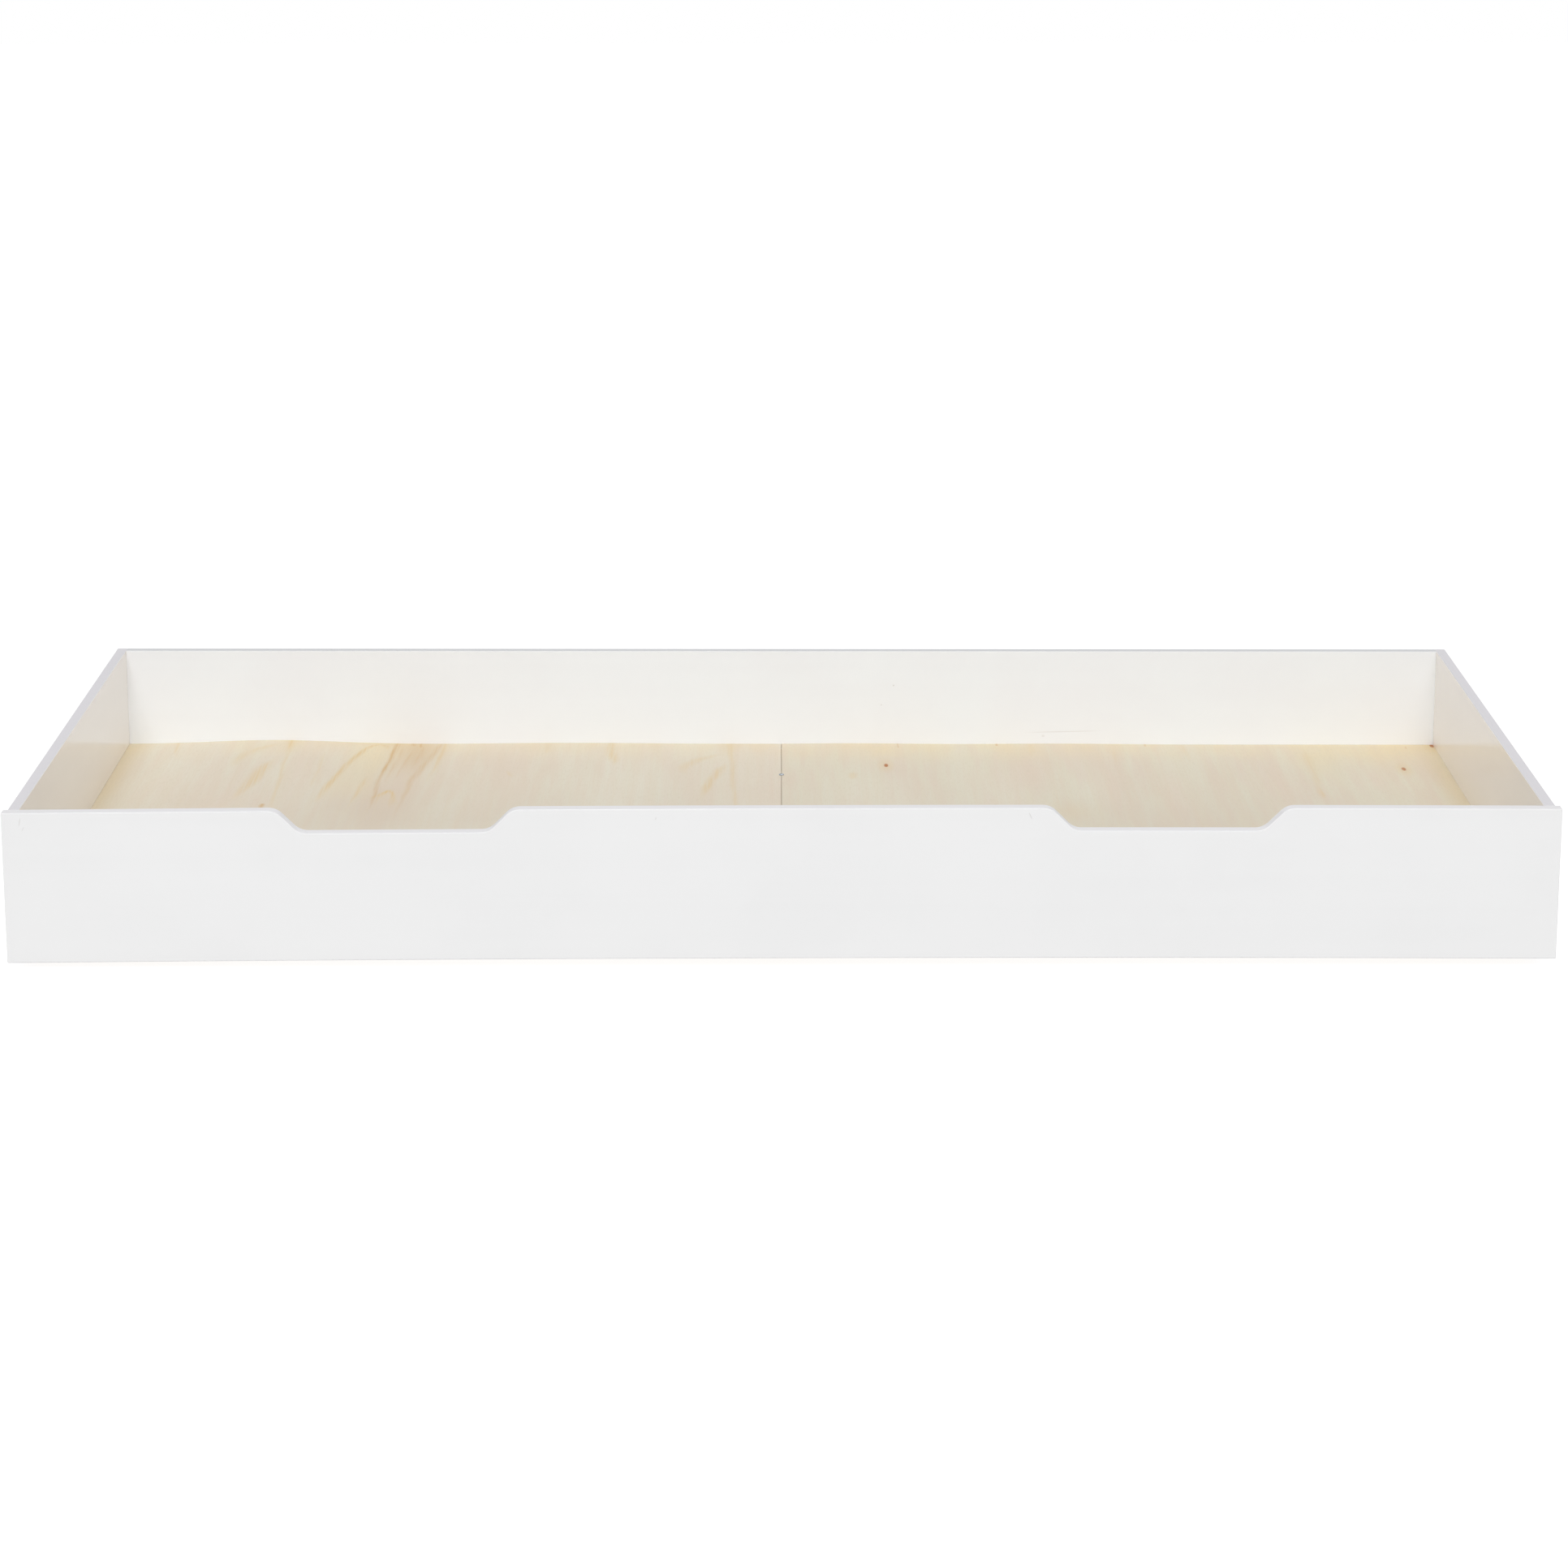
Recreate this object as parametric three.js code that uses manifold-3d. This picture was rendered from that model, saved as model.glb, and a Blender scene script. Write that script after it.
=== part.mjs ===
// Trundle bed: a low, wide pull-out bed box on six fixed casters.
// Millimetres, +Z up. The origin is on the ground under the middle of the box, the front faces -Y.

import * as THREE from "three";
import { mergeVertices } from "three/addons/utils/BufferGeometryUtils.js";
import Module from "manifold-3d";

// ---- Driving dimensions -------------------------------------------------------------------------

// Box
const frontLength = 2000; // front panel, left to right
const overallDepth = 950; // front face to back face
const panelHeight = 200; // all four panels
const frontThickness = 18;
const sideThickness = 15;
const backThickness = 15;
const frontOverhang = 6; // front panel past each side panel
const frontArris = 2.5; // rounding of the front panel's edges
const panelArris = 2; // rounding of the other panels' long edges

// Hand cut-outs in the front panel's top edge
const cutoutSpacing = 994; // centre to centre
const cutoutWidth = 273; // measured half way down the slopes
const cutoutDepth = 30;
const cutoutSlope = THREE.MathUtils.degToRad(45);
const cutoutRadius = 25; // of the slopes' upper and lower bends

// Bottom
const wellDepth = 145; // from the panels' top edges down to the bottom sheets
const sheetThickness = 6;
const seamGap = 2; // between the two sheets
const railThickness = 20; // rails and ledgers, flush above and below
const railWidth = 70;
const railInset = 160; // middle of each outer rail to the side panel's inner face
const ledgerWidth = 22;

// Casters
const wheelDiameter = 38;
const wheelWidth = 18;
const wheelCrown = 3; // rounding of the tread's edges
const hubDiameter = 16;
const hubRecess = 1.5; // how deep the wheel's faces are dished around the hub
const axleDiameter = 5;
const axleHeadDiameter = 9;
const axleHeadThickness = 1.6;
const bracketGauge = 2; // sheet metal
const wheelHeadroom = 4; // wheel to the bracket's plate
const wheelSideRoom = 1; // wheel's hub to each leg
const plateLength = 78;
const plateWidth = 36;
const plateCorner = 7;
const plateHolePitch = 60;
const legLength = 36; // where the leg leaves the plate
const legTipRadius = 8; // around the axle
const casterInset = 120; // axle to the inner face of the front or back panel

// Fasteners
const woodScrewDiameter = 4;
const woodScrewHead = 8;
const woodScrewHeadHeight = 2.4;
const woodScrewLength = 16; // under the head
const seamScrewDiameter = 3;
const seamScrewHead = 7.5;
const seamScrewHeadHeight = 2;
const seamScrewLength = 20; // under the head
const seamScrewInset = 190; // outer seam screws to the inner face of the front or back panel
const panelScrewDiameter = 7;
const panelScrewHead = 10;
const panelScrewHeadLength = 4;
const panelScrewLength = 50; // whole screw
const panelScrewRise = 50; // screw and cam axes in from the panels' top and bottom edges
const camDiameter = 15;
const camDepth = 12.5;
const camSetback = 34; // cam's centre to the front panel's inner face
const camBoltDiameter = 7;
const camBoltNeck = 4;
const camBoltNeckLength = 5;
const camBoltHead = 6.5;
const camBoltHeadLength = 3;
const camBoltThread = 5;
const camBoltThreadLength = 11; // into the front panel
const driveRecess = 3; // socket in a screw's or cam's head, across its corners
const driveDepth = 1.4;

// Fits
const fit = 0.3; // gap between parts that touch along cut or curved faces

// Cutters and facets
const overrun = 1; // how far a cutter passes the face that it opens
const mergeTolerance = 1e-4; // corners closer than this are one corner
const roundSegments = 12; // facets of small round parts
const wheelSegments = 24;
const bendSegments = 5; // facets of one bend in an outline
const arrisSegments = 2; // facets of a rounded edge

// ---- Worked-out places --------------------------------------------------------------------------

const axleHeight = wheelDiameter / 2;
const plateUnderside = wheelDiameter + wheelHeadroom;
const railUnderside = plateUnderside + bracketGauge;
const sheetUnderside = railUnderside + railThickness;
const deckHeight = sheetUnderside + sheetThickness;
const panelTop = deckHeight + wellDepth;
const panelBottom = panelTop - panelHeight;
const panelMiddle = panelTop - panelHeight / 2;

const boxWidth = frontLength - 2 * frontOverhang;
const innerWidth = boxWidth - 2 * sideThickness;
const frontFace = -overallDepth / 2;
const backFace = overallDepth / 2;
const innerFront = frontFace + frontThickness;
const innerBack = backFace - backThickness;
const innerDepth = innerBack - innerFront;
const innerMiddle = (innerFront + innerBack) / 2;
const hands = [
    ["left", -1],
    ["right", 1],
];
const fastenerHeights = [
    ["lower", panelBottom + panelScrewRise],
    ["upper", panelTop - panelScrewRise],
];

// ---- Materials ----------------------------------------------------------------------------------

function finish(color, roughness, metalness) {
    return new THREE.MeshStandardMaterial({ color, roughness, metalness });
}

const whitePaint = () => finish(0xf0efec, 0.5, 0);
const birchPlywood = () => finish(0xe2d6c4, 0.6, 0);
const softwood = () => finish(0xd9c39c, 0.75, 0);
const zincSteel = () => finish(0xb9bdc2, 0.35, 1);
const wheelNylon = () => finish(0x3a3b3d, 0.55, 0);

// ---- Solids -------------------------------------------------------------------------------------

const wasm = await Module();
wasm.setup();

// A closed geometry, with its mesh's placing baked in, as a solid that can be joined and cut.
function solidOf(mesh) {
    mesh.updateMatrixWorld(true);
    const bare = mesh.geometry.clone().applyMatrix4(mesh.matrixWorld);
    bare.deleteAttribute("normal");
    bare.deleteAttribute("uv");
    const merged = mergeVertices(bare, mergeTolerance);
    const vertProperties = new Float32Array(merged.attributes.position.array);
    const triVerts = new Uint32Array(merged.index.array);
    return new wasm.Manifold(new wasm.Mesh({ numProp: 3, vertProperties, triVerts }));
}

function geometryOf(solid) {
    const { vertProperties, triVerts } = solid.getMesh();
    const geometry = new THREE.BufferGeometry();
    geometry.setAttribute("position", new THREE.BufferAttribute(vertProperties, 3));
    geometry.setIndex(new THREE.BufferAttribute(triVerts, 1));
    geometry.computeVertexNormals();
    return geometry;
}

// The named mesh with every cutter taken out of it. Cutters are placed in the same space.
function cut(mesh, cutters) {
    const left = cutters.reduce((solid, cutter) => solid.subtract(solidOf(cutter)), solidOf(mesh));
    return named(mesh.name, geometryOf(left), mesh.material);
}

function named(name, geometry, material) {
    const mesh = new THREE.Mesh(geometry, material);
    mesh.name = name;
    return mesh;
}

function at(object, x, y, z) {
    object.position.set(x, y, z);
    return object;
}

// A plain square-edged bar, placed by its middle in X and Y and by its underside.
function bar(name, [width, depth, height], [x, y, underside], material) {
    const geometry = new THREE.BoxGeometry(width, depth, height);
    return at(named(name, geometry, material), x, y, underside + height / 2);
}

// Extrudes an outline drawn in X and Z along Y, from the front to the back.
function alongY(shape, front, length, options = {}) {
    const settings = { depth: length, bevelEnabled: false, curveSegments: arrisSegments, ...options };
    const geometry = new THREE.ExtrudeGeometry(shape, settings).rotateX(Math.PI / 2);
    return geometry.translate(0, front + length, 0);
}

// Extrudes an outline drawn in Y and Z along X, from the left to the right.
function alongX(shape, left, length, curveSegments = arrisSegments) {
    const geometry = new THREE.ExtrudeGeometry(shape, { depth: length, bevelEnabled: false, curveSegments });
    return geometry.rotateY(Math.PI / 2).rotateX(Math.PI / 2).translate(left, 0, 0);
}

// A solid of revolution about its local Z, from [radius, height] pairs that start and end on the axis.
function turned(profile, segments = roundSegments) {
    const points = profile.map(([radius, height]) => new THREE.Vector2(radius, height));
    return new THREE.LatheGeometry(points, segments).rotateX(Math.PI / 2);
}

// A cutter for a hole around a round part, whose axis runs from one point to another. The middles of its
// facets, and not its corners, clear the part by the fit.
function drill(diameter, from, to) {
    const start = new THREE.Vector3(...from);
    const end = new THREE.Vector3(...to);
    const length = start.distanceTo(end);
    const radius = (diameter / 2 + fit) / Math.cos(Math.PI / roundSegments);
    const mesh = new THREE.Mesh(new THREE.CylinderGeometry(radius, radius, length, roundSegments));
    mesh.position.copy(start).lerp(end, 0.5);
    mesh.quaternion.setFromUnitVectors(new THREE.Vector3(0, 1, 0), end.sub(start).normalize());
    return mesh;
}

// A hexagonal cutter for the socket in a fastener's head, which opens at its local Z = 0 and goes down.
function socket() {
    const geometry = new THREE.CylinderGeometry(driveRecess / 2, driveRecess / 2, 2 * driveDepth, 6);
    return new THREE.Mesh(geometry.rotateX(Math.PI / 2));
}

// A rectangle with its corners rounded, as an outline.
function roundedRectangle(width, height, radius) {
    const shape = new THREE.Shape();
    const right = width / 2;
    const top = height / 2;
    shape.moveTo(radius - right, -top);
    shape.absarc(right - radius, radius - top, radius, -Math.PI / 2, 0);
    shape.absarc(right - radius, top - radius, radius, 0, Math.PI / 2);
    shape.absarc(radius - right, top - radius, radius, Math.PI / 2, Math.PI);
    shape.absarc(radius - right, radius - top, radius, Math.PI, 1.5 * Math.PI);
    return shape;
}

// ---- Panels -------------------------------------------------------------------------------------

// The front panel's outline: straight sides, and a top edge that dips in two S-curved cut-outs.
function frontOutline() {
    const bend = Math.min(cutoutRadius, cutoutDepth / (2 * (1 - Math.cos(cutoutSlope))));
    const bendRun = bend * Math.sin(cutoutSlope);
    const straightDrop = cutoutDepth - 2 * bend * (1 - Math.cos(cutoutSlope));
    const halfSlope = bendRun + straightDrop / Math.tan(cutoutSlope) / 2;
    const up = Math.PI / 2;
    const shape = new THREE.Shape();
    shape.moveTo(-frontLength / 2, panelBottom);
    shape.lineTo(frontLength / 2, panelBottom);
    shape.lineTo(frontLength / 2, panelTop);
    for (const centre of [cutoutSpacing / 2, -cutoutSpacing / 2]) {
        const rightSlope = centre + cutoutWidth / 2;
        const leftSlope = centre - cutoutWidth / 2;
        const upperBend = panelTop - bend;
        const lowerBend = panelTop - cutoutDepth + bend;
        shape.absarc(rightSlope + halfSlope, upperBend, bend, up, up + cutoutSlope);
        shape.absarc(rightSlope - halfSlope, lowerBend, bend, cutoutSlope - up, -up, true);
        shape.absarc(leftSlope + halfSlope, lowerBend, bend, -up, -up - cutoutSlope, true);
        shape.absarc(leftSlope - halfSlope, upperBend, bend, up - cutoutSlope, up);
    }
    shape.lineTo(-frontLength / 2, panelTop);
    return shape;
}

function frontPanel() {
    const bevel = {
        bevelEnabled: true,
        bevelSize: frontArris,
        bevelOffset: -frontArris,
        bevelThickness: frontArris,
        bevelSegments: arrisSegments,
        curveSegments: bendSegments,
    };
    const flat = frontThickness - 2 * frontArris;
    const panel = alongY(frontOutline(), frontFace + frontArris, flat, bevel);
    const holeEnd = innerFront - camBoltThreadLength - fit;
    const mouth = innerFront + overrun;
    const holes = camPlaces().map(({ x, z }) => drill(camBoltThread, [x, holeEnd, z], [x, mouth, z]));
    return cut(named("front_panel", panel, whitePaint()), holes);
}

// A side panel is square at its ends and rounded along its top and bottom edges.
function sidePanel(hand, side) {
    const middle = side * (boxWidth - sideThickness) / 2;
    const outline = roundedRectangle(sideThickness, panelHeight, panelArris);
    const length = alongY(outline, innerFront, backFace - innerFront);
    const board = at(named(`${hand}_side_panel`, length, whitePaint()), middle, 0, panelMiddle);
    const outer = side * boxWidth / 2;
    const inner = side * innerWidth / 2;
    const screwY = backFace - backThickness / 2;
    const camY = innerFront + camSetback;
    const headSeat = outer - side * panelScrewHeadLength;
    const camSeat = inner + side * (camDepth + fit);
    const cutters = fastenerHeights.flatMap(([, z]) => [
        drill(panelScrewDiameter, [inner - side * overrun, screwY, z], [outer, screwY, z]),
        drill(panelScrewHead, [headSeat, screwY, z], [outer + side * overrun, screwY, z]),
        drill(camDiameter, [inner - side * overrun, camY, z], [camSeat, camY, z]),
        drill(camBoltDiameter, [middle, innerFront - overrun, z], [middle, camY, z]),
    ]);
    return cut(board, cutters);
}

function backPanel() {
    const outline = roundedRectangle(backThickness, panelHeight, panelArris);
    const board = named("back_panel", alongX(outline, -innerWidth / 2, innerWidth), whitePaint());
    at(board, 0, backFace - backThickness / 2, panelMiddle);
    const cutters = panelScrewPlaces().map(({ side, y, z }) => {
        const tip = side * (boxWidth / 2 - panelScrewLength - fit);
        return drill(panelScrewDiameter, [tip, y, z], [side * (innerWidth / 2 + overrun), y, z]);
    });
    return cut(board, cutters);
}

// ---- Bottom -------------------------------------------------------------------------------------

const railPlaces = [
    ["left", railInset - innerWidth / 2],
    ["centre", 0],
    ["right", innerWidth / 2 - railInset],
];

function bottomSheet(hand, side) {
    const width = (innerWidth - seamGap) / 2 - fit;
    const middle = side * (seamGap + width) / 2;
    const size = [width, innerDepth - 2 * fit, sheetThickness];
    const sheet = bar(`${hand}_bottom_sheet`, size, [middle, innerMiddle, sheetUnderside], birchPlywood());
    const holes = seamScrewPlaces().map(({ x, y }) => {
        return drill(seamScrewDiameter, [x, y, sheetUnderside - overrun], [x, y, deckHeight + overrun]);
    });
    return cut(sheet, holes);
}

// A front or back ledger, halved from below where it sits on the rails' ends.
function lappedLedger(name, front) {
    const half = innerWidth / 2 - fit;
    const lap = railUnderside + railThickness / 2;
    const notch = railWidth / 2 + fit;
    const shape = new THREE.Shape();
    shape.moveTo(-half, railUnderside);
    for (const [, x] of railPlaces) {
        shape.lineTo(x - notch, railUnderside);
        shape.lineTo(x - notch, lap);
        shape.lineTo(x + notch, lap);
        shape.lineTo(x + notch, railUnderside);
    }
    shape.lineTo(half, railUnderside);
    shape.lineTo(half, sheetUnderside);
    shape.lineTo(-half, sheetUnderside);
    return named(name, alongY(shape, front, ledgerWidth), softwood());
}

function sideLedger(hand, side) {
    const size = [ledgerWidth, innerDepth - 2 * (ledgerWidth + fit), railThickness];
    const x = side * (innerWidth - ledgerWidth) / 2;
    return bar(`${hand}_ledger`, size, [x, innerMiddle, railUnderside], softwood());
}

// A rail runs the whole inner depth. The lower half of each end reaches under a ledger.
function rail(hand, x) {
    const front = innerFront + fit;
    const back = innerBack - fit;
    const lap = railUnderside + railThickness / 2;
    const shoulder = ledgerWidth + fit;
    const shape = new THREE.Shape();
    shape.moveTo(front, railUnderside);
    shape.lineTo(back, railUnderside);
    shape.lineTo(back, lap);
    shape.lineTo(innerBack - shoulder, lap);
    shape.lineTo(innerBack - shoulder, sheetUnderside);
    shape.lineTo(innerFront + shoulder, sheetUnderside);
    shape.lineTo(innerFront + shoulder, lap);
    shape.lineTo(front, lap);
    const board = named(`${hand}_rail`, alongX(shape, x - railWidth / 2, railWidth), softwood());
    const onThisRail = (place) => place.x === x;
    const casterHoles = casterPlaces().filter(onThisRail).flatMap((place) => {
        const tip = plateUnderside + woodScrewLength + fit;
        const ends = [place.y - plateHolePitch / 2, place.y + plateHolePitch / 2];
        return ends.map((y) => drill(woodScrewDiameter, [x, y, railUnderside - overrun], [x, y, tip]));
    });
    const seamHoles = seamScrewPlaces().filter(onThisRail).map(({ y }) => {
        const tip = deckHeight - seamScrewLength - fit;
        return drill(seamScrewDiameter, [x, y, tip], [x, y, sheetUnderside + overrun]);
    });
    return cut(board, [...casterHoles, ...seamHoles]);
}

// ---- Fasteners ----------------------------------------------------------------------------------

function panelScrewPlaces() {
    const y = backFace - backThickness / 2;
    return hands.flatMap(([hand, side]) => {
        return fastenerHeights.map(([level, z]) => ({ hand, side, level, y, z }));
    });
}

function camPlaces() {
    return hands.flatMap(([hand, side]) => {
        const x = side * (boxWidth - sideThickness) / 2;
        return fastenerHeights.map(([level, z]) => ({ hand, side, level, x, z }));
    });
}

// The seam screws go down between the two sheets, into the middle of the centre rail.
function seamScrewPlaces() {
    const rows = [
        ["front", innerFront + seamScrewInset],
        ["middle", innerMiddle],
        ["back", innerBack - seamScrewInset],
    ];
    return rows.map(([row, y]) => ({ name: `seam_screw_${row}`, x: 0, y }));
}

// A pan head screw whose head sits on local Z = 0 and whose shank goes down from there.
function panHeadScrew(name, diameter, head, headHeight, length) {
    const shank = diameter / 2;
    const body = turned([
        [0, -length],
        [shank, -length + diameter],
        [shank, 0],
        [head / 2, 0],
        [head / 2, headHeight / 2],
        [head / 3, headHeight],
        [0, headHeight],
    ]);
    return cut(named(name, body, zincSteel()), [at(socket(), 0, 0, headHeight)]);
}

function seamScrew({ name, x, y }) {
    const screw = panHeadScrew(name, seamScrewDiameter, seamScrewHead, seamScrewHeadHeight, seamScrewLength);
    return at(screw, x, y, deckHeight);
}

// A connecting screw, driven through a side panel into the end of the back panel, head flush outside.
function panelScrew({ hand, side, level, y, z }) {
    const shank = panelScrewDiameter / 2;
    const head = panelScrewHead / 2;
    const body = turned([
        [0, -panelScrewLength],
        [shank, -panelScrewLength + panelScrewDiameter],
        [shank, -panelScrewHeadLength],
        [head, -panelScrewHeadLength],
        [head, 0],
        [0, 0],
    ]);
    const screw = cut(named(`${hand}_${level}_panel_screw`, body, zincSteel()), [socket()]);
    screw.rotation.y = side * Math.PI / 2;
    return at(screw, side * boxWidth / 2, y, z);
}

// A cam bolt: its thread is in the front panel, and its shank runs back to the head inside the cam.
function camBolt({ hand, level, x, z }) {
    const thread = camBoltThread / 2;
    const shank = camBoltDiameter / 2;
    const neck = camBoltNeck / 2;
    const head = camBoltHead / 2;
    const headEnd = camSetback + camBoltHeadLength / 2;
    const headStart = headEnd - camBoltHeadLength;
    const body = turned([
        [0, -camBoltThreadLength],
        [thread, -camBoltThreadLength],
        [thread, 0],
        [shank, 0],
        [shank, headStart - camBoltNeckLength],
        [neck, headStart - camBoltNeckLength],
        [neck, headStart],
        [head, headStart],
        [head, headEnd],
        [0, headEnd],
    ]);
    const bolt = named(`${hand}_${level}_cam_bolt`, body, zincSteel());
    bolt.rotation.x = -Math.PI / 2;
    return at(bolt, x, innerFront, z);
}

// A cam disc, let into the inner face of a side panel, with a mouth for the bolt's neck and head.
function camDisc({ hand, side, level, x, z }) {
    const inner = side * innerWidth / 2;
    const y = innerFront + camSetback;
    const blank = turned([[0, -camDepth], [camDiameter / 2, -camDepth], [camDiameter / 2, 0], [0, 0]]);
    const disc = named(`${hand}_${level}_cam_disc`, blank, zincSteel());
    disc.rotation.y = -side * Math.PI / 2;
    at(disc, inner, y, z);
    const reach = (camBoltHeadLength + camBoltNeckLength) / 2 + fit;
    const cavity = drill(camBoltHead, [x, y - reach, z], [x, y + reach, z]);
    const mouth = drill(camBoltDiameter, [x, y - camDiameter, z], [x, y, z]);
    const drive = at(socket(), inner, y, z);
    drive.rotation.y = -side * Math.PI / 2;
    return cut(disc, [cavity, mouth, drive]);
}

// ---- Casters ------------------------------------------------------------------------------------

function casterPlaces() {
    const rows = [
        ["front", innerFront + casterInset],
        ["back", innerBack - casterInset],
    ];
    return railPlaces.flatMap(([hand, x]) => {
        return rows.map(([row, y]) => ({ name: `${hand}_${row}_caster`, x, y }));
    });
}

// The wheel, turned about the axle: a crowned tread, faces dished around a hub, and a bore.
function casterWheel(name) {
    const bore = axleDiameter / 2 + fit;
    const hub = hubDiameter / 2;
    const tread = wheelDiameter / 2;
    const half = wheelWidth / 2;
    const dished = half - hubRecess;
    const rim = tread - 2 * wheelCrown;
    const face = [
        [bore, half],
        [hub, half],
        [hub, dished],
        [rim, dished],
        [tread - wheelCrown, half],
        [tread, half - wheelCrown],
    ];
    const lower = face.map(([radius, height]) => [radius, -height]);
    const upper = face.toReversed();
    const wheel = turned([...lower, ...upper, lower[0]], wheelSegments);
    return named(`${name}_wheel`, wheel.rotateY(Math.PI / 2), wheelNylon());
}

// The axle rivet, with a flat head outside each leg.
function casterAxle(name) {
    const pin = axleDiameter / 2;
    const head = axleHeadDiameter / 2;
    const grip = wheelWidth / 2 + wheelSideRoom + bracketGauge;
    const end = grip + axleHeadThickness;
    const body = turned([
        [0, -end],
        [head, -end],
        [head, -grip],
        [pin, -grip],
        [pin, grip],
        [head, grip],
        [head, end],
        [0, end],
    ]);
    return named(`${name}_axle`, body.rotateY(Math.PI / 2), zincSteel());
}

// The bracket: a plate with two holes, and two legs that taper down to the axle.
function casterBracket(name) {
    const rise = plateUnderside - axleHeight;
    const half = legLength / 2;
    const reach = Math.hypot(half, rise);
    const swing = Math.acos(legTipRadius / reach);
    const corner = Math.atan2(rise, half);
    const leg = new THREE.Shape();
    leg.moveTo(half, rise + bracketGauge / 2);
    leg.lineTo(-half, rise + bracketGauge / 2);
    leg.lineTo(-half, rise);
    leg.absarc(0, 0, legTipRadius, Math.PI - corner + swing, 2 * Math.PI + corner - swing);
    leg.lineTo(half, rise);
    const inner = wheelWidth / 2 + wheelSideRoom;
    const legs = [-inner - bracketGauge, inner].map((left) => {
        return new THREE.Mesh(alongX(leg, left, bracketGauge, bendSegments));
    });

    const outline = roundedRectangle(plateWidth, plateLength, plateCorner);
    const sheet = { depth: bracketGauge, bevelEnabled: false, curveSegments: arrisSegments };
    const plate = at(new THREE.Mesh(new THREE.ExtrudeGeometry(outline, sheet)), 0, 0, rise);
    const joined = legs.reduce((solid, part) => solid.add(solidOf(part)), solidOf(plate));

    const bracket = named(`${name}_bracket`, geometryOf(joined), zincSteel());
    const outside = inner + 2 * bracketGauge;
    const cutters = [drill(axleDiameter, [-outside, 0, 0], [outside, 0, 0])];
    for (const y of [-plateHolePitch / 2, plateHolePitch / 2]) {
        const top = rise + 2 * bracketGauge;
        cutters.push(drill(woodScrewDiameter, [0, y, rise - bracketGauge], [0, y, top]));
    }
    return cut(bracket, cutters);
}

// A caster's screw, driven up through the plate into the rail.
function casterScrew(name, end, y) {
    const label = `${name}_${end}_screw`;
    const screw = panHeadScrew(label, woodScrewDiameter, woodScrewHead, woodScrewHeadHeight, woodScrewLength);
    screw.rotation.x = Math.PI;
    return at(screw, 0, y, plateUnderside - axleHeight);
}

function caster({ name, x, y }) {
    const group = at(new THREE.Group(), x, y, axleHeight);
    group.add(casterBracket(name), casterWheel(name), casterAxle(name));
    group.add(casterScrew(name, "front", -plateHolePitch / 2));
    group.add(casterScrew(name, "back", plateHolePitch / 2));
    return group;
}

// ---- Assembly -----------------------------------------------------------------------------------

const trundleBed = new THREE.Group();
trundleBed.add(frontPanel(), backPanel(), sidePanel("left", -1), sidePanel("right", 1));
trundleBed.add(bottomSheet("left", -1), bottomSheet("right", 1));
trundleBed.add(lappedLedger("front_ledger", innerFront));
trundleBed.add(lappedLedger("back_ledger", innerBack - ledgerWidth));
trundleBed.add(sideLedger("left", -1), sideLedger("right", 1));
railPlaces.forEach(([hand, x]) => trundleBed.add(rail(hand, x)));
casterPlaces().forEach((place) => trundleBed.add(caster(place)));
panelScrewPlaces().forEach((place) => trundleBed.add(panelScrew(place)));
camPlaces().forEach((place) => trundleBed.add(camBolt(place), camDisc(place)));
seamScrewPlaces().forEach((place) => trundleBed.add(seamScrew(place)));

export default trundleBed;
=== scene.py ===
"""Looks of the trundle bed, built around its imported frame.

Metres, +Z up, the front faces -Y. The origin is on the ground under the middle of the box.
"""

import functools
import inspect
import logging
import math
from collections.abc import Callable
from dataclasses import dataclass
from enum import Enum

import bmesh
import bpy
import numpy as np
from mathutils import Matrix, Vector


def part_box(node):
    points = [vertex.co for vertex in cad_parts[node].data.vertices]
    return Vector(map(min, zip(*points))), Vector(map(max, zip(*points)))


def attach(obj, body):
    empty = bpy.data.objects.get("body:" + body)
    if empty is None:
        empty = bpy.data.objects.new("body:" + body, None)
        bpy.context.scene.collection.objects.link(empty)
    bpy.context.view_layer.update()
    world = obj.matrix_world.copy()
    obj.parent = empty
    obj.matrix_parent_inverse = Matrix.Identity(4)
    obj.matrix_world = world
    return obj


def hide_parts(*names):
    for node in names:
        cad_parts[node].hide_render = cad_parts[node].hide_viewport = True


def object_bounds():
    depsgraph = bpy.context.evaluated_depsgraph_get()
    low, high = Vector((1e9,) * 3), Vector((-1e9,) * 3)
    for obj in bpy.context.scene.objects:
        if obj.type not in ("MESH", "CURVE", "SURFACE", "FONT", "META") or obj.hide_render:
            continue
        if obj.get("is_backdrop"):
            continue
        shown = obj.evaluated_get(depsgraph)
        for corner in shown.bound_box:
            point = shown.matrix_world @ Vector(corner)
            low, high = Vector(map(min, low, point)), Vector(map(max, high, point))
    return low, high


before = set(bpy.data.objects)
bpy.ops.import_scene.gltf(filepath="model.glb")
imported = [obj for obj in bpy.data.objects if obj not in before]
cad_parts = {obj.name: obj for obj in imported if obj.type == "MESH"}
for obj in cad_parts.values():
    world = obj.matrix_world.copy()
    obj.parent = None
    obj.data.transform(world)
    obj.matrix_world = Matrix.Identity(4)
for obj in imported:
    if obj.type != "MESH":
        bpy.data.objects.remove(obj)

LOG = logging.getLogger("trundle_bed")
MM = 0.001
WELD = 0.002 * MM  # corners that are nearer than this are one
WHITE = (1.0, 1.0, 1.0, 1.0)
HANDS = (("left", -1), ("right", 1))
STATIONS = ("left", "centre", "right")
LEVEL = Matrix.Identity(4)

Socket = bpy.types.NodeSocket
Piece = bpy.types.Object


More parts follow.
